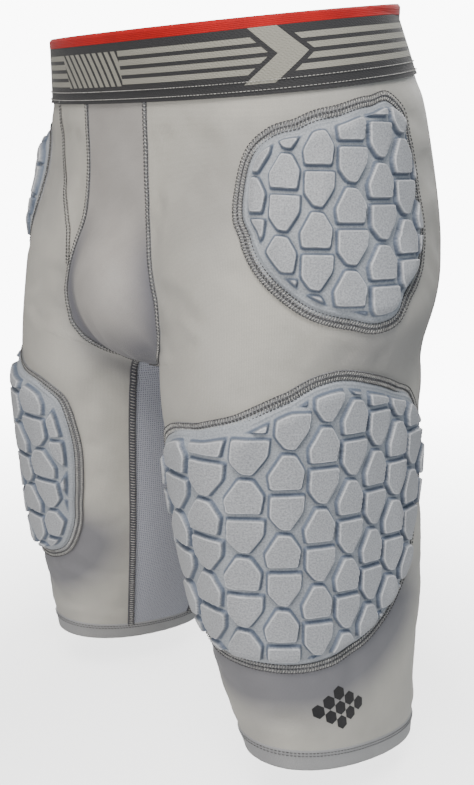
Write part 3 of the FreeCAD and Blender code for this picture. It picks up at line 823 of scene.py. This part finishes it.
def cell_distance(across, up, cells):
    """Distance outside the nearest moulded cell; below zero on a cell."""
    start_across, start_up, pitch, period, rise, lean = cells
    nearest = np.full(across.shape, 99.0)
    reach = int(max(np.abs(across).max(), np.abs(up).max()) / pitch) + 4
    for column in range(-reach, reach + 1):
        x = across - start_across - lean * (up - start_up) - column * pitch
        y = up - start_up - column * rise
        y = (y / period + 0.5) % 1.0 * period - 0.5 * period
        for cell in (LOWER_CELL, UPPER_CELL):
            corners = [(cx * pitch, cy * period) for cx, cy in cell]
            sides = []
            for (ax, ay), (bx, by) in zip(corners, corners[1:] + corners[:1]):
                length = math.hypot(bx - ax, by - ay)
                sides.append(((y - ay) * (bx - ax) - (x - ax) * (by - ay)) / length)
            nearest = np.minimum(nearest, rounded_max(sides, CELL_CORNER))
    return nearest - CELL_GROW


def pad_height(across, up, outline, cells):
    """Height of a pad's cover over the cloth, and the distance in from each cell's edge."""
    turn = np.arctan2(up, across)
    inside = outline_reach(outline, turn) - np.hypot(across, up)
    cell = rounded_max([cell_distance(across, up, cells), CELL_MARGIN - inside], CELL_CORNER)
    cell_share = smooth_step(-cell, 0.0, CELL_BEVEL)
    base = RIM_HEIGHT + RIM_STEP * smooth_step(inside, RIM_STEP_FROM, RIM_STEP_TO)
    base = base + (PAD_FLOOR - RIM_HEIGHT - RIM_STEP) * smooth_step(inside, DOME_FROM, DOME_TO)
    ridge = RIDGE_HEIGHT * np.exp(-((inside - RIDGE_PLACE) / RIDGE_WIDTH) ** 2)
    return base + ridge + CELL_RAISE * cell_share, np.clip(-cell, -EDGE_LIMIT, EDGE_LIMIT)


def pad_pieces(name, outline, chart, cells, side, nodes):
    """The cover, backing and seam of one pad; side -1 makes the mirror image."""
    cover_node, foam_node, backing_node, stitching_node = nodes
    count = int(2 * max(max(x for x, _ in outline), max(y for _, y in outline)) / COVER_SPACING)
    across, up = pad_grid(outline, count)
    height, edge = pad_height(across, up, outline, cells)
    height = height + pad_crown(chart(*pad_grid(outline, CROWN_GRID)), count)
    base = chart(across, up) * mirror(side)
    uv = place_uv(across * side, up)
    cover = sheet_mesh(name + "_cover", base, COVER_UNDERSIDE, height, "pad_cover", uv, values={"edge": edge})
    stand_in(cover, "pad_cover", cover_node, foam_node)
    across, up = pad_grid(outline, 41, BACKING_INSET)
    base = chart(across, up) * mirror(side)
    backing = sheet_mesh(name + "_backing", base, *LINING, "lining_knit", place_uv(across, up))
    stand_in(backing, "lining_knit", backing_node)
    insets = (0.0, -SEAM_INSET, SEAM_INSET)
    ring, outer, inner = [chart(*outline_ring(outline, inset)) * mirror(side) for inset in insets]
    ridge = welt(name + "_seam", ring, True, *SEAM_WELT, "seam_knit")
    rails, rungs = ladder_seam(name + "_stitch", [outer, inner], True, *SEAM_LADDER)
    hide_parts(stitching_node)
    return [cover, backing, ridge, rails, rungs]


# ---------------------------------------------------------------- materials
KNIT_WALE = 0.9            # widths of the knit's columns and heights of its rows
KNIT_COURSE = 0.7
# colour of the painted shade in creases, under the thigh pads and round the pouch
PAINTED_SHADE_COLOUR = (92, 93, 104)
BAND_ROUND = 750.0
BAND_FRONT = 0.75 * BAND_ROUND
STRIPE_TOP = 11.2
STRIPE_PERIOD = 5.8
STRIPE_WIDTH = 3.4
STRIPES_DEPTH = 21.7
ARROW_MIDDLE = 21.5
ARROW_HALF = 16.0
ARROW_WIDTH = 15.0
ARROW_CLEAR = 3.6          # dark gap round the arrow
ARROW_TIP = 152.0          # distance of the arrow's point from the middle of the front, round the band
BLOCK_FROM = -67.0
BLOCK_TO = 20.0
BAR_PERIOD = 9.0
BAR_WIDTH = 5.6
BAR_LEAN = -0.5
BAR_SHIFT = 400.0          # keeps the bars' places above zero
MESH_PITCH = 1.7
# each cloth: darker and paler sRGB colour, then what differs from the usual width of column and roughness
KNITS = {"body_knit": ((166, 163, 156), (190, 187, 179)),
         # the pouch's knit is the body's knit painted darker and cooler as shade, and a little less rough
         "pouch_knit_shaded": ((150, 146, 143), (174, 170, 167), KNIT_WALE, 0.42),
         "lining_knit": ((150, 149, 147), (168, 167, 165), 1.2),
         "hem_knit": ((140, 140, 141), (162, 162, 163))}
# each trim: the two colours, then roughness, direction and width of its rib
TRIMS = {"red_knit": ((150, 2, 3), (190, 6, 6), 0.7, "Y", 1.0),
         # the seam welts: darker grey than the body knit, in part as painted shadow along the seams
         "seam_knit": ((106, 107, 110), (146, 147, 150)),
         "tape": ((72, 72, 78), (98, 98, 105)),
         "label_satin": ((214, 214, 212), (236, 236, 234), 0.4),
         "print_ink": ((16, 16, 18), (34, 34, 38), 0.5)}
THREADS = {"thread_dark": ((46, 46, 48), (90, 90, 92)),
           "thread_light": ((126, 124, 122), (196, 194, 190))}


def linear(red, green, blue):
    """Linear colour from 8-bit sRGB values."""
    return tuple((v / 255 / 12.92) if v <= 10 else ((v / 255 + 0.055) / 1.055) ** 2.4
                 for v in (red, green, blue)) + (1.0,)


class Shade:
    """A node material with one Principled shader, built up by short calls."""

    def __init__(self, name, roughness=0.7, sheen=0.0, specular=0.4):
        self.material = bpy.data.materials.new(name)
        self.material.use_nodes = True
        self.tree = self.material.node_tree
        self.shader = self.tree.nodes["Principled BSDF"]
        self.shader.inputs["Roughness"].default_value = roughness
        self.shader.inputs["Sheen Weight"].default_value = sheen
        self.shader.inputs["Sheen Roughness"].default_value = 0.4
        self.shader.inputs["Specular IOR Level"].default_value = specular

    def node(self, kind, inputs=None, **settings):
        made = self.tree.nodes.new(kind)
        for key, value in settings.items():
            setattr(made, key, value)
        for key, value in (inputs or {}).items():
            if isinstance(value, bpy.types.NodeSocket):
                self.tree.links.new(value, made.inputs[key])
            else:
                made.inputs[key].default_value = value
        return made

    def calc(self, operation, *values):
        return self.node("ShaderNodeMath", dict(enumerate(values)), operation=operation).outputs[0]

    def times(self, first, last):
        return self.calc("MULTIPLY", first, last)

    def below(self, value, limit):
        return self.calc("LESS_THAN", value, limit)

    def between(self, value, low, high):
        """1 where a value lies between two limits, and 0 elsewhere."""
        return self.times(self.calc("GREATER_THAN", value, low), self.below(value, high))

    def mix(self, share, first, last):
        return self.node("ShaderNodeMix", {0: share, 6: first, 7: last}, data_type="RGBA").outputs[2]

    def span(self, value, low, high, to_low=0.0, to_high=1.0):
        inputs = {"Value": value, "From Min": low, "From Max": high, "To Min": to_low, "To Max": to_high}
        return self.node("ShaderNodeMapRange", inputs).outputs[0]

    def brightened(self, colour, value):
        return self.node("ShaderNodeHueSaturation", {"Color": colour, "Value": value}).outputs[0]

    def cloth_place(self):
        return self.node("ShaderNodeUVMap", uv_map="cloth").outputs[0]

    def painted(self, name):
        """A value kept on the mesh's points."""
        return self.node("ShaderNodeAttribute", attribute_name=name).outputs["Fac"]

    def noise(self, place, scale, detail=3.0, roughness=0.6):
        inputs = {"Vector": place, "Scale": scale, "Detail": detail, "Roughness": roughness}
        return self.node("ShaderNodeTexNoise", inputs).outputs[0]

    def stripes(self, place, period, direction="X", distortion=0.0):
        inputs = {"Vector": place, "Scale": math.pi / (10 * period * MM), "Distortion": distortion}
        return self.node("ShaderNodeTexWave", inputs, bands_direction=direction).outputs[1]

    def loops(self, place, wale=KNIT_WALE):
        """The loops of a jersey knit, in columns and rows."""
        return self.times(self.stripes(place, wale, "X", 0.6), self.stripes(place, KNIT_COURSE, "Y", 0.6))

    def bump(self, height, depth, after=None):
        inputs = {"Height": height, "Distance": depth * MM, "Strength": 1.0}
        if after is not None:
            inputs["Normal"] = after
        return self.node("ShaderNodeBump", inputs).outputs[0]

    def finish(self, colour, normal_out=None, roughness=None):
        outputs = {"Base Color": colour, "Normal": normal_out, "Roughness": roughness}
        for key, output in outputs.items():
            if output is not None:
                self.tree.links.new(output, self.shader.inputs[key])
        return self.material


def knit_material(name, dark, light, wale=KNIT_WALE, roughness=0.5):
    """Jersey knit: fine columns of loops, colour that drifts a little, and painted shade where the "open"
    value is low, in creases, under the thigh pads and round the pouch.
    """
    shade = Shade(name, roughness, 0.1, 0.45)
    place = shade.cloth_place()
    loops = shade.loops(place, wale)
    drift = shade.noise(place, 22.0, 4.0)
    grain = shade.noise(place, 1400.0, 2.0)
    tone = shade.calc("ADD", shade.times(drift, 0.5), shade.times(grain, 0.5))
    colour = shade.mix(shade.span(tone, 0.32, 0.68), linear(*dark), linear(*light))
    # painted shade: the colour moves to the shade colour where the open value is low
    lit = shade.span(shade.painted("open"), 0.35, 1.0, 0.2, 1.0)
    colour = shade.mix(lit, linear(*PAINTED_SHADE_COLOUR), colour)
    colour = shade.brightened(colour, shade.span(loops, 0.0, 0.6, 0.9, 1.0))
    soft = shade.bump(shade.noise(place, 60.0, 3.0), 0.35, shade.bump(loops, 0.12))
    return shade.finish(colour, soft, shade.span(drift, 0.3, 0.7, roughness - 0.06, roughness + 0.06))


def pad_material():
    """Heathered knit bonded over foam, with painted light: a cooler tint in the grooves, painted bluish shade
    down the cells' sides and a painted pale highlight along their top edges.
    """
    shade = Shade("pad_cover", 0.42, 0.15, 0.5)
    place = shade.cloth_place()
    edge = shade.painted("edge")
    grain = shade.noise(place, 900.0, 3.0, 0.7)
    drift = shade.noise(place, 30.0, 3.0)
    speckle = shade.span(grain, 0.36, 0.64)
    # painted shade: the grooves take a cooler, slightly darker copy of the tops' colour
    top = shade.mix(speckle, linear(132, 134, 138), linear(170, 172, 177))
    groove = shade.mix(speckle, linear(132, 136, 142), linear(162, 167, 174))
    colour = shade.mix(shade.span(edge, -0.2, 0.8), groove, top)
    # painted shade: dark blue down the cells' bevelled sides
    painted_side_shade = shade.times(shade.span(edge, -0.8, 0.0), shade.span(edge, 0.5, 1.2, 1.0, 0.0))
    colour = shade.mix(shade.times(painted_side_shade, 0.8), colour, linear(74, 88, 110))
    # painted highlight: a pale line along each cell's top edge
    painted_top_highlight = shade.times(shade.span(edge, 0.9, 1.3), shade.span(edge, 1.4, 2.0, 1.0, 0.0))
    colour = shade.mix(shade.times(painted_top_highlight, 0.5), colour, linear(214, 216, 220))
    colour = shade.brightened(colour, shade.span(drift, 0.3, 0.7, 0.95, 1.05))
    relief = shade.bump(grain, 0.12, shade.bump(shade.loops(place), 0.1))
    return shade.finish(colour, relief, shade.span(grain, 0.3, 0.7, 0.38, 0.52))


def band_pattern(shade, place):
    """1 on the band's four stripes, on the arrow at each side and on the plain bars in front."""
    parts = shade.node("ShaderNodeSeparateXYZ", {"Vector": place})
    down = shade.times(parts.outputs[1], -1000.0)
    front = shade.calc("SUBTRACT", shade.times(parts.outputs[0], 1000.0), BAND_FRONT)
    within = shade.between(down, STRIPE_TOP, STRIPE_TOP + STRIPES_DEPTH)
    phase = shade.calc("MODULO", shade.calc("SUBTRACT", down, STRIPE_TOP), STRIPE_PERIOD)
    stripe = shade.times(within, shade.below(phase, STRIPE_WIDTH))
    slope = shade.calc("ABSOLUTE", shade.calc("SUBTRACT", down, ARROW_MIDDLE))
    ahead = shade.calc("SUBTRACT", shade.calc("ADD", shade.calc("ABSOLUTE", front), slope), ARROW_TIP)
    arrow = shade.times(shade.between(ahead, -ARROW_WIDTH, 0.0), shade.below(slope, ARROW_HALF))
    clear = shade.between(ahead, -ARROW_WIDTH - ARROW_CLEAR, ARROW_CLEAR)
    stripe = shade.times(stripe, shade.calc("SUBTRACT", 1.0, clear))
    lean = shade.calc("ADD", shade.calc("ADD", front, BAR_SHIFT), shade.times(down, BAR_LEAN))
    bar = shade.times(shade.below(shade.calc("MODULO", lean, BAR_PERIOD), BAR_WIDTH), within)
    stripe = shade.mix(shade.between(front, BLOCK_FROM, BLOCK_TO), stripe, bar)
    return shade.calc("MAXIMUM", stripe, arrow)


def band_material():
    """Jacquard elastic: a dark rib with a pale pattern woven into it."""
    shade = Shade("band_knit", 0.75, 0.2, 0.3)
    place = shade.cloth_place()
    pale = band_pattern(shade, place)
    rib = shade.times(shade.stripes(place, 1.1, "DIAGONAL"), shade.stripes(place, 0.9, "Y", 0.4))
    grain = shade.noise(place, 1300.0, 2.0)
    dark = shade.mix(grain, linear(34, 34, 36), linear(58, 58, 60))
    light = shade.mix(grain, linear(122, 120, 112), linear(158, 156, 146))
    relief = shade.calc("ADD", shade.times(pale, 0.8), rib)
    return shade.finish(shade.mix(pale, dark, light), shade.bump(relief, 0.22))


def trim_material(name, dark, light, roughness=0.7, direction="DIAGONAL", period=0.9):
    """Woven or knitted trim with one direction of rib."""
    shade = Shade(name, roughness, 0.2, 0.3)
    place = shade.cloth_place()
    rib = shade.stripes(place, period, direction, 0.5)
    grain = shade.times(shade.noise(place, 1200.0, 2.0), 0.6)
    tone = shade.calc("ADD", grain, shade.times(shade.noise(place, 40.0, 3.0), 0.4))
    colour = shade.mix(shade.span(tone, 0.35, 0.65), linear(*dark), linear(*light))
    return shade.finish(shade.brightened(colour, shade.span(rib, 0.0, 0.5, 0.82, 1.0)), shade.bump(rib, 0.15))


def thread_material(name, dark, light):
    """Spun thread: the colour changes from stitch to stitch."""
    shade = Shade(name, 0.6, 0.3, 0.4)
    place = shade.node("ShaderNodeTexCoord").outputs["Object"]
    tone = shade.span(shade.noise(place, 900.0, 2.0), 0.35, 0.65)
    twist = shade.noise(place, 4000.0, 1.0)
    return shade.finish(shade.mix(tone, linear(*dark), linear(*light)), shade.bump(twist, 0.1))


def mesh_material():
    """Open mesh knit: rows of small dark holes."""
    shade = Shade("mesh_knit", 0.7, 0.2, 0.3)
    place = shade.cloth_place()
    inputs = {"Vector": place, "Scale": 1 / (MESH_PITCH * MM), "Randomness": 0.15}
    holes = shade.node("ShaderNodeTexVoronoi", inputs, feature="F1").outputs["Distance"]
    solid = shade.span(holes, 0.16, 0.34)
    thread = shade.mix(shade.noise(place, 700.0, 2.0), linear(146, 148, 158), linear(178, 180, 190))
    return shade.finish(shade.mix(solid, linear(96, 98, 106), thread), shade.bump(solid, 0.2))


MATERIALS = {name: knit_material(name, *look) for name, look in KNITS.items()}
MATERIALS.update({name: trim_material(name, *look) for name, look in TRIMS.items()})
MATERIALS.update({name: thread_material(name, *look) for name, look in THREADS.items()})
MATERIALS.update(pad_cover=pad_material(), band_knit=band_material(), mesh_knit=mesh_material())


# ---------------------------------------------------------------- pieces
BAND_COLUMNS = 480
BAND_TOP = -5.6
BAND_LAP = 1.6             # the band laps this far over the cloth
BAND_FACE = 1.3            # height of the band's outer face, and how it rises at the lap and in the middle
BAND_LAP_RISE = 0.5
BAND_SWELL = 0.25
BAND_BACK = -1.4           # height of its inner face, and how it rises to clear the cloth
BAND_BACK_RISE = 1.8
RED_TOP = 0.6
RED_MIDDLE = -0.1
RED_ROLL = (1.5, 1.6)      # how far the red edge rolls in and out
BAND_STITCH_LIFT = 1.9
BAND_STITCH = 2.4
BAND_STITCH_ROWS = (-BAND_HEIGHT + 1.0, -BAND_HEIGHT + 6.2)
HEM_STITCH_ROWS = (0.1, 0.24)
HEM_STITCH_LIFT = 0.75
HEM_STITCH = 2.6
HEM_MIDDLE = -0.7
HEM_ROLL = (1.4, 0.2, 1.1)  # inwards, and outwards at the hem's top and past it
HEM_OVERLAP = -0.05
# painted shade on the pouch: its depth, and where it grows along the rim and towards the crotch
POUCH_SHADE = 0.5
POUCH_RIM_SHARE = (0.5, 1.0)
POUCH_RIM_DROP = (115.0, 165.0)
POUCH_LOW_DROP = (190.0, 228.0)
# welts: width and height; ladders: width and lift
CENTRE_WELT = (4.0, 0.7)
CENTRE_LADDER = (3.0, 0.8)
FLY_LADDER = (3.0, 1.6)
FLY_FACES = (0.1, 1.3)
FLY_EDGE_DROP = 0.5
INSEAM_WELT = (6.4, 1.0)
INSEAM_LADDER = (4.4, 1.1)
FLY_TOP = BAND_PLANE[0] - 11.0
FLY_BOTTOM = -163.0
FLY_SEAM_INSET = 2.4
LABEL_HALF = 16.0
LABEL_TOP, LABEL_BOTTOM = -44.0, -84.0
LABEL_FACES = (-3.6, -3.1)
PRINT_FACES = (0.02, 0.15)


def ride(pieces, body):
    for piece in pieces:
        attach(piece, body)


def bend(pieces, side):
    """Bakes each piece's placement into its mesh."""
    for piece in pieces:
        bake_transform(piece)


def stand_in(piece, slot, *nodes):
    """Hides the CAD nodes that a piece stands in for."""
    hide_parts(*nodes)


def cloth(name, base, material, nodes, uv=None, faces=(CLOTH_UNDERSIDE, 0.0), slot=None, values=None):
    """A stretched sheet of cloth in the place of CAD nodes."""
    uv = arc_places(base) if uv is None else uv
    piece = sheet_mesh(name, base, *faces, material, uv, values=values)
    stand_in(piece, slot or material, *nodes)
    return piece


def ring_grid(heights):
    angle = turns(BAND_COLUMNS)
    base = around_waist(angle[None, :], heights[:, None])
    turn = np.linspace(0.0, BAND_ROUND, BAND_COLUMNS + 1)
    return base, place_uv(turn[None, :], heights[:, None])


def rolled(share, start, end):
    """Thickness of a turned edge: full at first, and round towards its end."""
    return np.sqrt(np.clip(1 - smooth_step(share, start, end) ** 2, 0.02, 1.0))


def waistband():
    heights = np.linspace(BAND_TOP, -BAND_HEIGHT - BAND_LAP, 30)
    base, uv = ring_grid(heights)
    lap = smooth_step(-heights, BAND_HEIGHT - 2.0, BAND_HEIGHT + BAND_LAP)
    outer = BAND_FACE + BAND_LAP_RISE * lap + BAND_SWELL * np.sin(-heights / BAND_HEIGHT * math.pi)
    inner = BAND_BACK + BAND_BACK_RISE * smooth_step(-heights, BAND_HEIGHT - 1.0, BAND_HEIGHT)
    band = sheet_mesh("waistband", base, inner[:, None], outer[:, None], "band_knit", uv, closed=True)
    stand_in(band, "band_knit", "waistband_elastic")
    heights = np.linspace(RED_TOP, -RED_EDGE_HEIGHT, 14)
    base, uv = ring_grid(heights)
    roll = rolled(heights, RED_TOP - 3.0, RED_TOP)[:, None]
    inner, outer = RED_MIDDLE - RED_ROLL[0] * roll, RED_MIDDLE + RED_ROLL[1] * roll
    edge = sheet_mesh("red_edge", base, inner, outer, "red_knit", uv, closed=True)
    stand_in(edge, "red_knit", "waistband_red_edge")
    angle = turns(720)
    rows = [dash_row(around_waist(angle, height), True, 0.0, BAND_STITCH_LIFT, BAND_STITCH)
            for height in BAND_STITCH_ROWS]
    stitches = threads("waistband_stitches", rows, *BAND_THREAD, "thread_light")
    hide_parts("waistband_stitching")
    ride([band, edge, stitches], "pelvis")


def pouch_shading(base):
    """The "open" value of the pouch: lower at its rim and towards the crotch, as painted shade there."""
    z = base[..., 2]
    rim = smooth_step(np.abs(base[..., 0]) / pouch_half(z), *POUCH_RIM_SHARE)
    rim = rim * smooth_step(-z, *POUCH_RIM_DROP)
    return painted_light_share(base, normal(base)) - POUCH_SHADE * np.maximum(rim, smooth_step(-z, *POUCH_LOW_DROP))


def centre_panels():
    rows, columns = (130, 70) if FINE else (70, 40)
    base = centre_grid(-1.0, pouch_half, rows, columns)
    # the pouch: a darker, cooler copy of the body knit for painted shade, with painted shade at its rim too
    pieces = [cloth("pouch", base, "pouch_knit_shaded", ["pouch_outer"], slot="body_knit",
                    values={"open": pouch_shading(base)}),
              cloth("pouch_lining_cloth", base, "lining_knit", ["pouch_lining"], faces=LINING),
              cloth("seat", centre_grid(1.0, seat_half, rows, columns), "body_knit", ["seat_panel"])]
    front, back = saddle_ends()
    edge = SADDLE_HALF_WIDTH + SADDLE_LAP
    base = underside(np.linspace(-edge, edge, 12)[None, :], np.linspace(front, back, 60)[:, None])
    uv = place_uv(base[..., 0], base[..., 1])
    pieces.append(cloth("crotch", base, "mesh_knit", ["crotch_gusset"], uv))
    ride(pieces, "pelvis")


def centre_seams():
    for name, way, half_of in (("pouch", -1.0, pouch_half), ("seat", 1.0, seat_half)):
        line = seam_points(centre_planes(90), way, half_of)
        lines = [line * mirror(side) for side in (1.0, -1.0)]
        ridges = [welt(f"{name}_welt_{i}", line, False, *CENTRE_WELT, "seam_knit")
                  for i, line in enumerate(lines)]
        seam = ladder_seam(name + "_stitch", lines, False, *CENTRE_LADDER)
        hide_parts(name + "_stitching")
        ride(ridges + seam, "pelvis")


def fly():
    z = np.linspace(FLY_TOP, FLY_BOTTOM, 60)
    share = shares(30)[None, :]
    outer = curve_value(z, FLY_Z, FLY_HALF)
    inner = pouch_half(z) + 1.0
    base = front_or_back(-(outer[:, None] + (inner - outer)[:, None] * share), z[:, None], -1.0)
    underside_lift, face = FLY_FACES
    edge = face - FLY_EDGE_DROP * smooth_step(share, 0.0, 0.2)
    facing_cloth = cloth("fly_cloth", base, "body_knit", ["fly_facing"], faces=(underside_lift, edge))
    line = front_or_back(FLY_SEAM_INSET - outer, z, -1.0)
    seam = ladder_seam("fly_stitch", [line], False, *FLY_LADDER)
    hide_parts("fly_stitching")
    ride([facing_cloth] + seam, "pelvis")


def label():
    x = np.linspace(-LABEL_HALF, LABEL_HALF, 14)
    z = np.linspace(LABEL_TOP, LABEL_BOTTOM, 20)
    base = front_or_back(x[None, :], z[:, None], 1.0, WAIST_TILT)
    tag = sheet_mesh("label", base, *LABEL_FACES, "label_satin", place_uv(base[..., 0], base[..., 2]))
    stand_in(tag, "label_satin", "care_label")
    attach(tag, "pelvis")


def side_panels(side):
    count = 170 if FINE else 90
    panels = (("side_cloth", side_grid(count, count), "body_knit", ("hip_panel", "hip_fold", "leg_panel")),
              ("gusset_cloth", gusset_grid(80, 40), "mesh_knit", ("gusset_fold", "leg_gusset")))
    for name, base, material, nodes in panels:
        base = base * mirror(side)
        uv = place_uv(*thigh_place(base)) if name == "side_cloth" else None
        piece = cloth(side_name(name, side), base, material, [side_name(node, side) for node in nodes], uv)
        bend([piece], side)


def inseams(side):
    planes = plane_mix(FOLD_BOTTOM_PLANE, HEM_TOP_PLANE, shares(80))
    lines = []
    pieces = []
    for which, corner, angle in zip(("front", "back"), saddle_edge(2), (-GUSSET_ANGLE, GUSSET_ANGLE)):
        line = from_saddle(corner, around_leg(angle, *planes), 8) * mirror(side)
        lines.append(line)
        tape = welt(side_name("inseam_tape_" + which + "_cloth", side), line, False, *INSEAM_WELT, "tape")
        stand_in(tape, "tape", side_name("inseam_tape_" + which, side))
        pieces.append(tape)
    seam = ladder_seam(side_name("inseam_stitch", side), lines, False, *INSEAM_LADDER)
    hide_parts(side_name("inseam_stitching", side))
    bend(pieces + seam, side)


def leg_end(side):
    share = np.linspace(HEM_OVERLAP, 1.0, 16)
    angle = turns(300)
    base = leg_rows(angle, plane_mix(HEM_TOP_PLANE, HEM_PLANE, share)) * mirror(side)
    roll = rolled(share, 0.88, 1.0)[:, None]
    start = smooth_step(share, HEM_OVERLAP, 0.06)[:, None]
    inwards, top, further = HEM_ROLL
    inner, outer = HEM_MIDDLE - inwards * roll, HEM_MIDDLE + (top + further * start) * roll
    distance = np.linspace(0.0, HEM_ROUND, 301)
    uv = place_uv(distance[None, :] * side, -HEM_DEPTH * share[:, None])
    hem = sheet_mesh(side_name("hem", side), base, inner, outer, "hem_knit", uv, closed=True)
    stand_in(hem, "hem_knit", side_name("leg_hem", side))
    rows = []
    for share in HEM_STITCH_ROWS:
        line = around_leg(angle, *plane_mix(HEM_TOP_PLANE, HEM_PLANE, share)) * mirror(side)
        rows.append(dash_row(line, True, 0.0, HEM_STITCH_LIFT, HEM_STITCH))
    stitches = threads(side_name("hem_stitches", side), rows, *HEM_THREAD, "thread_dark")
    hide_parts(side_name("hem_stitching", side))
    ride([hem, stitches], body_of(side))


def emblem():
    """A plain cluster of honeycomb cells printed on the left leg."""
    pieces = []
    centres = [(0.0, 0.0)] + [(1.0, angle) for angle in range(30, 390, 60)]
    centres += [(math.sqrt(3.0), 0.0), (math.sqrt(3.0), 180.0)]
    share = shares(4)[:, None, None]
    turn = np.radians(np.arange(30, 390, 60))
    ring = CELL_PRINT_RADIUS * np.stack([np.cos(turn), np.sin(turn)], -1)
    flat = ring[None, [0, 1, 2, 3]] * (1 - share) + ring[None, [0, 5, 4, 3]] * share
    for number, (reach, angle) in enumerate(centres):
        across = flat[..., 0] + reach * CELL_PRINT_STEP * math.cos(math.radians(angle))
        up = flat[..., 1] + reach * CELL_PRINT_STEP * math.sin(math.radians(angle))
        pieces.append(sheet_mesh(f"emblem_{number}", print_chart(across, up), *PRINT_FACES, "print_ink",
                                 place_uv(across, up)))
    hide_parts("leg_print_left")
    ride(pieces, "left_leg")


def pads():
    parts = ("cover", "foam", "backing", "stitching")
    for side, name in ((1.0, "left"), (-1.0, "right")):
        for pad, outline, chart, cells in (("hip_pad", HIP_OUTLINE, hip_chart, HIP_CELLS),
                                           ("thigh_pad", THIGH_OUTLINE, thigh_chart, THIGH_CELLS)):
            nodes = [f"{pad}_{part}_{name}" for part in parts]
            bend(pad_pieces(f"{pad}_{name}", outline, chart, cells, side, nodes), side)
    nodes = ["tailbone_pad_" + part for part in parts]
    ride(pad_pieces("tailbone_pad_soft", TAIL_OUTLINE, tail_chart, TAIL_CELLS, 1.0, nodes), "pelvis")


# ---------------------------------------------------------------- stage
# each softbox: name, degrees round from the front towards the wearer's left, degrees up, size, watts, colour
LAMPS = (("key", 42.0, 52.0, 0.75, 27.0, (1.0, 0.97, 0.92)),
         ("fill", 16.0, 4.0, 0.9, 16.0, (1.0, 0.99, 0.97)),
         ("cool", 108.0, 15.0, 0.8, 7.0, (0.80, 0.90, 1.0)),
         ("back", 200.0, 35.0, 1.2, 17.0, (1.0, 1.0, 1.0)))
LAMP_TARGET = Vector((0.0, 0.0, -0.25))
LAMP_DISTANCE = 1.6
FLOOR_HEIGHT = -0.52
FLOOR_SIZE = 14.0
FLOOR_FADE = (0.2, 1.1, 0.75, 0.0)   # near and far distance (m), and how solid the floor is there
PAPER_LIGHT = 0.16
PAPER_SEEN = 12.0          # the backdrop as the camera sees it
CAMERA_PLACE = (0.57920, -0.48004, -0.08297)
CAMERA_RIGHT = (0.65364, 0.75654, 0.02006)
CAMERA_UP = (-0.18685, 0.13563, 0.97298)
CAMERA_BACK = (0.73338, -0.63973, 0.23001)
CAMERA_LENS = 47.44
CAMERA_SENSOR = 36.0


def floor():
    bpy.ops.mesh.primitive_plane_add(size=FLOOR_SIZE, location=(0.0, 0.0, FLOOR_HEIGHT))
    paper = bpy.context.object
    paper.name = "floor"
    shade = Shade("floor_paper", 0.8)
    place = shade.node("ShaderNodeTexCoord").outputs["Object"]
    away = shade.node("ShaderNodeVectorMath", {0: place}, operation="LENGTH").outputs["Value"]
    shade.finish(shade.mix(shade.noise(place, 3.0), (0.88, 0.88, 0.88, 1.0), (0.90, 0.90, 0.90, 1.0)))
    shade.tree.links.new(shade.span(away, *FLOOR_FADE), shade.shader.inputs["Alpha"])
    paper.data.materials.append(shade.material)


def backdrop():
    """White paper all round, brighter to the camera than as a light."""
    world = bpy.data.worlds.new("studio")
    bpy.context.scene.world = world
    world.use_nodes = True
    tree = world.node_tree
    soft = tree.nodes["Background"]
    soft.inputs["Color"].default_value = (1.0, 1.0, 1.0, 1.0)
    soft.inputs["Strength"].default_value = PAPER_LIGHT
    seen = tree.nodes.new("ShaderNodeBackground")
    seen.inputs["Strength"].default_value = PAPER_SEEN
    mixed = tree.nodes.new("ShaderNodeMixShader")
    tree.links.new(tree.nodes.new("ShaderNodeLightPath").outputs["Is Camera Ray"], mixed.inputs[0])
    tree.links.new(soft.outputs[0], mixed.inputs[1])
    tree.links.new(seen.outputs[0], mixed.inputs[2])
    tree.links.new(mixed.outputs[0], tree.nodes["World Output"].inputs["Surface"])


def lamps():
    for name, around, above, size, power, colour in LAMPS:
        turn, rise = math.radians(around), math.radians(above)
        way = Vector((math.sin(turn) * math.cos(rise), -math.cos(turn) * math.cos(rise), math.sin(rise)))
        light = bpy.data.lights.new(name, "AREA")
        light.size = size
        light.energy = power
        light.color = colour
        lamp = add_object(name, light)
        lamp.location = LAMP_TARGET + way * LAMP_DISTANCE
        lamp.rotation_euler = (-way).to_track_quat("-Z", "Y").to_euler()


def camera():
    """The view from the front of the wearer's left, level with the hip pads and tipped down."""
    data = bpy.data.cameras.new("camera")
    data.lens = CAMERA_LENS
    data.sensor_width = CAMERA_SENSOR
    view = add_object("camera", data)
    turn = Matrix((CAMERA_RIGHT, CAMERA_UP, CAMERA_BACK)).transposed().to_4x4()
    view.matrix_world = Matrix.Translation(CAMERA_PLACE) @ turn
    bpy.context.scene.camera = view


if FINE:
    simulate_folds()
waistband()
centre_panels()
centre_seams()
fly()
label()
for SIDE in (1.0, -1.0):
    side_panels(SIDE)
    inseams(SIDE)
    leg_end(SIDE)
pads()
emblem()
floor()
backdrop()
lamps()
camera()
